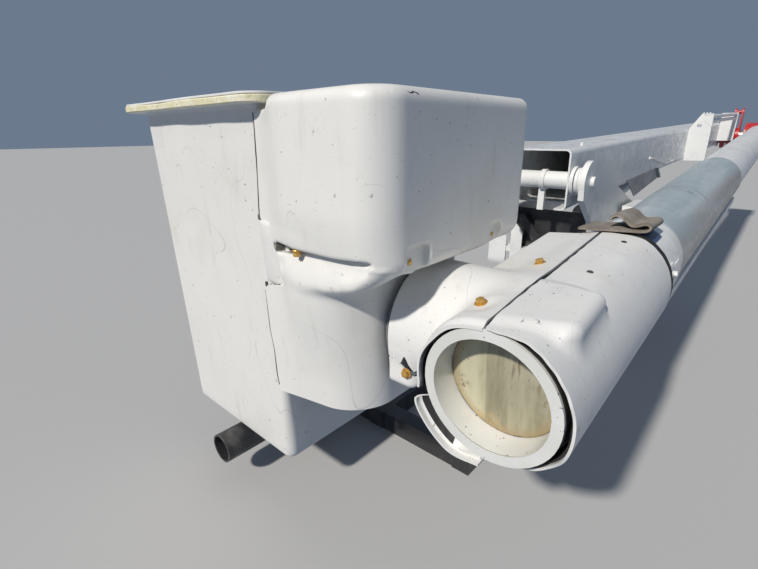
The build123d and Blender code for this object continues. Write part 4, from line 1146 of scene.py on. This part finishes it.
def belting():
    """Sheet along BELT, its width running back from the front edge, both faces and the cut edges."""
    d = np.r_[0, np.cumsum(np.hypot(*np.diff(BELT, axis=0).T))]
    n = 72
    sv = np.linspace(0, d[-1], n)
    y0, z0 = np.interp(sv, d, BELT[:, 0]), np.interp(sv, d, BELT[:, 1])
    for _ in range(3):
        y0[1:-1] = (y0[:-2] + 2 * y0[1:-1] + y0[2:]) / 4
        z0[1:-1] = (z0[:-2] + 2 * z0[1:-1] + z0[2:]) / 4
    ty, tz = np.gradient(y0), np.gradient(z0)
    ln = np.hypot(ty, tz)
    ny, nz = -tz / ln, ty / ln
    m_ = 22
    faces, verts = [], []
    u = np.linspace(0, 1, m_)
    for side in (1, -1):
        for i in range(n):
            f_ = sv[i] / d[-1]
            xf = 1.372 - 0.045 * min(1.0, sv[i] / 0.16) + 0.010 * step(np.array(sv[i]), 0.26, 0.36)
            for k in range(m_):
                w = u[k]
                x = xf - BELT_W * w + 0.0018 * math.sin(5 * f_ + 9 * w) * (1 - w)
                # the free end of the upper layer lifts and waves a little, the lower layer lies flat
                wave = (0.0045 * math.sin(3.2 * w + 14 * f_) + 0.006 * w * (f_ - 0.5)) * max(0.0, f_ - 0.56) / 0.44
                sag = -0.010 * w * (1 - f_) * 0.5
                r = BELT_T / 2 * side * (0.90 if k in (0, m_ - 1) or i in (0, n - 1) else 1.0)
                verts.append((x, y0[i] + ny[i] * r, z0[i] + nz[i] * r + wave + sag))
    off = n * m_
    for i in range(n - 1):
        for k in range(m_ - 1):
            a, b, c, e = i * m_ + k, i * m_ + k + 1, (i + 1) * m_ + k + 1, (i + 1) * m_ + k
            faces.append((a, b, c, e))
            faces.append((off + a, off + e, off + c, off + b))
    for i in range(n - 1):
        for k, fl in ((0, False), (m_ - 1, True)):
            a, b = i * m_ + k, (i + 1) * m_ + k
            q = (a, b, off + b, off + a)
            faces.append(q[::-1] if fl else q)
    for k in range(m_ - 1):
        for i, fl in ((0, True), (n - 1, False)):
            a, b = i * m_ + k, i * m_ + k + 1
            q = (a, b, off + b, off + a)
            faces.append(q[::-1] if fl else q)
    faces = [f_[::-1] for f_ in faces]
    return np.array(verts), faces, float(d[-1])


def belting_mat():
    t = Mat("belting_weave")
    warp = t.node("TexWave", {"Vector": t.pos, "Scale": 95.0, "Distortion": 1.2, "Detail": 2.0}, bands_direction="X").outputs["Fac"]
    weft = t.node("TexWave", {"Vector": t.pos, "Scale": 80.0, "Distortion": 1.0, "Detail": 2.0}, bands_direction="Y").outputs["Fac"]
    col = t.mix(t.band(t.noise(16.0, 6.0, 0.65), 0.36, 0.66), (0.235, 0.205, 0.170), (0.335, 0.300, 0.250))
    col = t.mix(t.f("MULTIPLY", t.band(t.noise(60.0, 4.0, 0.7), 0.52, 0.66), 0.5), col, (0.14, 0.12, 0.10))
    col = t.mix(t.f("MULTIPLY", t.f("MULTIPLY", warp, weft), 0.16), col, (0.10, 0.09, 0.08))
    under = t.f("MULTIPLY", t.band(t.node("SeparateXYZ", {0: t.node("NewGeometry").outputs["Normal"]}).outputs[2], 0.2, -0.3), t.band(t.noise(30.0, 4.0), 0.35, 0.60, 0.5, 1.0))
    col = t.mix(under, col, (0.10, 0.045, 0.035))
    col = t.mix(t.f("MULTIPLY", t.edges(0.004, 0.04, 0.30), t.band(t.noise(50.0, 4.0), 0.35, 0.5)), col, (0.035, 0.028, 0.024))
    h = t.f("ADD", t.f("MULTIPLY", t.f("ADD", warp, weft), 0.5), t.noise(220.0, 3.0))
    return t.done(col, t.band(t.noise(40.0, 3.0), 0.3, 0.7, 0.70, 0.88), t.bump(h, 0.35, 0.0006))


V, F, BELT_L = belting()
belt = mesh_obj("belting_sheet", V, F, belting_mat(), "upper_boom", "belting", ("belting_flap",), sharp=60)


# ---------------------------------------------------------------- bulkhead in the tube
def disc_mat():
    t = Mat("bulkhead_laminate")
    streak = t.noise(1.0, 4.0, 0.62, t.scaled(10, 26, 4, (math.radians(14), 0, 0)))
    # the laminate is lighter left of a vertical line and darker right of it
    half_ = t.band(t.f("ADD", t.axis(1), t.f("MULTIPLY", t.noise(40.0, 2.0), 0.004)), 0.5025, 0.5065)
    pale = t.mix(t.band(streak, 0.36, 0.64), (0.44, 0.42, 0.27), (0.57, 0.54, 0.38))
    darker_tone = t.mix(t.band(streak, 0.36, 0.64), (0.27, 0.25, 0.16), (0.42, 0.39, 0.27))
    col = t.mix(half_, pale, darker_tone)
    col = t.mix(t.f("MULTIPLY", t.band(t.noise(7.0, 5.0, 0.6), 0.46, 0.66), 0.45), col, (0.54, 0.51, 0.38))
    n = t.node("VectorMath", {0: t.pos, 1: (1.972, UB_Y, tube_z(1.972))}, operation="DISTANCE").outputs["Value"]
    col = t.mix(t.f("MULTIPLY", t.band(n, 0.092, 0.116), 0.60), col, (0.36, 0.25, 0.12))
    rim = t.f("MULTIPLY", t.band(n, 0.1135, 0.1165), t.band(t.noise(18.0, 3.0), 0.40, 0.55, 0.3, 0.95))
    col = t.mix(rim, col, (0.07, 0.05, 0.03))
    amber = t.f("MULTIPLY", t.f("MAXIMUM", t.dot((1.972, 0.512, 0.606), 0.020, 1.0), t.dot((1.972, 0.546, 0.600), 0.014, 1.0)), t.band(t.noise(60.0, 4.0, 0.7), 0.42, 0.56))
    col = t.mix(t.f("MULTIPLY", amber, 0.38), col, (0.55, 0.37, 0.17))
    brown = t.f("MULTIPLY", t.dot((1.972, 0.446, 0.676), 0.012, 1.4), t.band(t.noise(1.0, 3.0, 0.6, t.scaled(60, 90, 60)), 0.50, 0.60))
    col = t.mix(t.f("MULTIPLY", brown, 0.7), col, (0.16, 0.09, 0.04))
    drips = t.f("MULTIPLY", t.band(t.noise(1.0, 3.0, 0.6, t.scaled(20, 85, 9)), 0.55, 0.66), t.f("MULTIPLY", t.band(t.axis(2), 0.700, 0.740), t.band(t.axis(1), 0.515, 0.545)))
    col = t.mix(t.f("MULTIPLY", drips, 0.75), col, (0.15, 0.09, 0.05))
    col = t.mix(t.f("MULTIPLY", t.band(t.noise(110.0, 3.0), 0.68, 0.71), 0.5), col, (0.14, 0.10, 0.06))
    h = t.f("ADD", streak, t.f("MULTIPLY", t.noise(120.0, 4.0), 0.5))
    return t.done(col, t.band(t.noise(25.0, 3.0), 0.3, 0.7, 0.40, 0.62), t.bump(h, 0.4, 0.0010))


def make_disc():
    st = []
    for r, off in ((0.1176, -0.0125), (0.1176, 0.005), (0.1165, 0.006), (0.112, 0.0065), (0.085, 0.0072), (0.045, 0.0078), (0.015, 0.0080)):
        x = RING_X - 0.0725
        c = np.array([x, UB_Y, tube_z(x)]) + AX * off
        st.append(np.array([c + r * (math.sin(a) * np.array([0, 1, 0]) + math.cos(a) * np.array([-AX[2], 0, AX[0]])) for a in np.linspace(0, -2 * math.pi, 73)[:-1]]))
    return rings(st, (True, True))


mesh_obj("tube_end_disc", *make_disc(), disc_mat(), "upper_boom", "raw_glass", ("tube_bulkhead",))

# ---------------------------------------------------------------- floor
me = bpy.data.meshes.new("floor")
S = 60.0
me.from_pydata([(-S, -S, 0), (S, -S, 0), (S, S, 0), (-S, S, 0)], [], [(0, 1, 2, 3)])
floor = bpy.data.objects.new("floor", me)
COL.objects.link(floor)
fm_ = Mat("floor_pale")
me.materials.append(fm_.done((0.49, 0.485, 0.475), 0.9))
floor.visible_diffuse = False
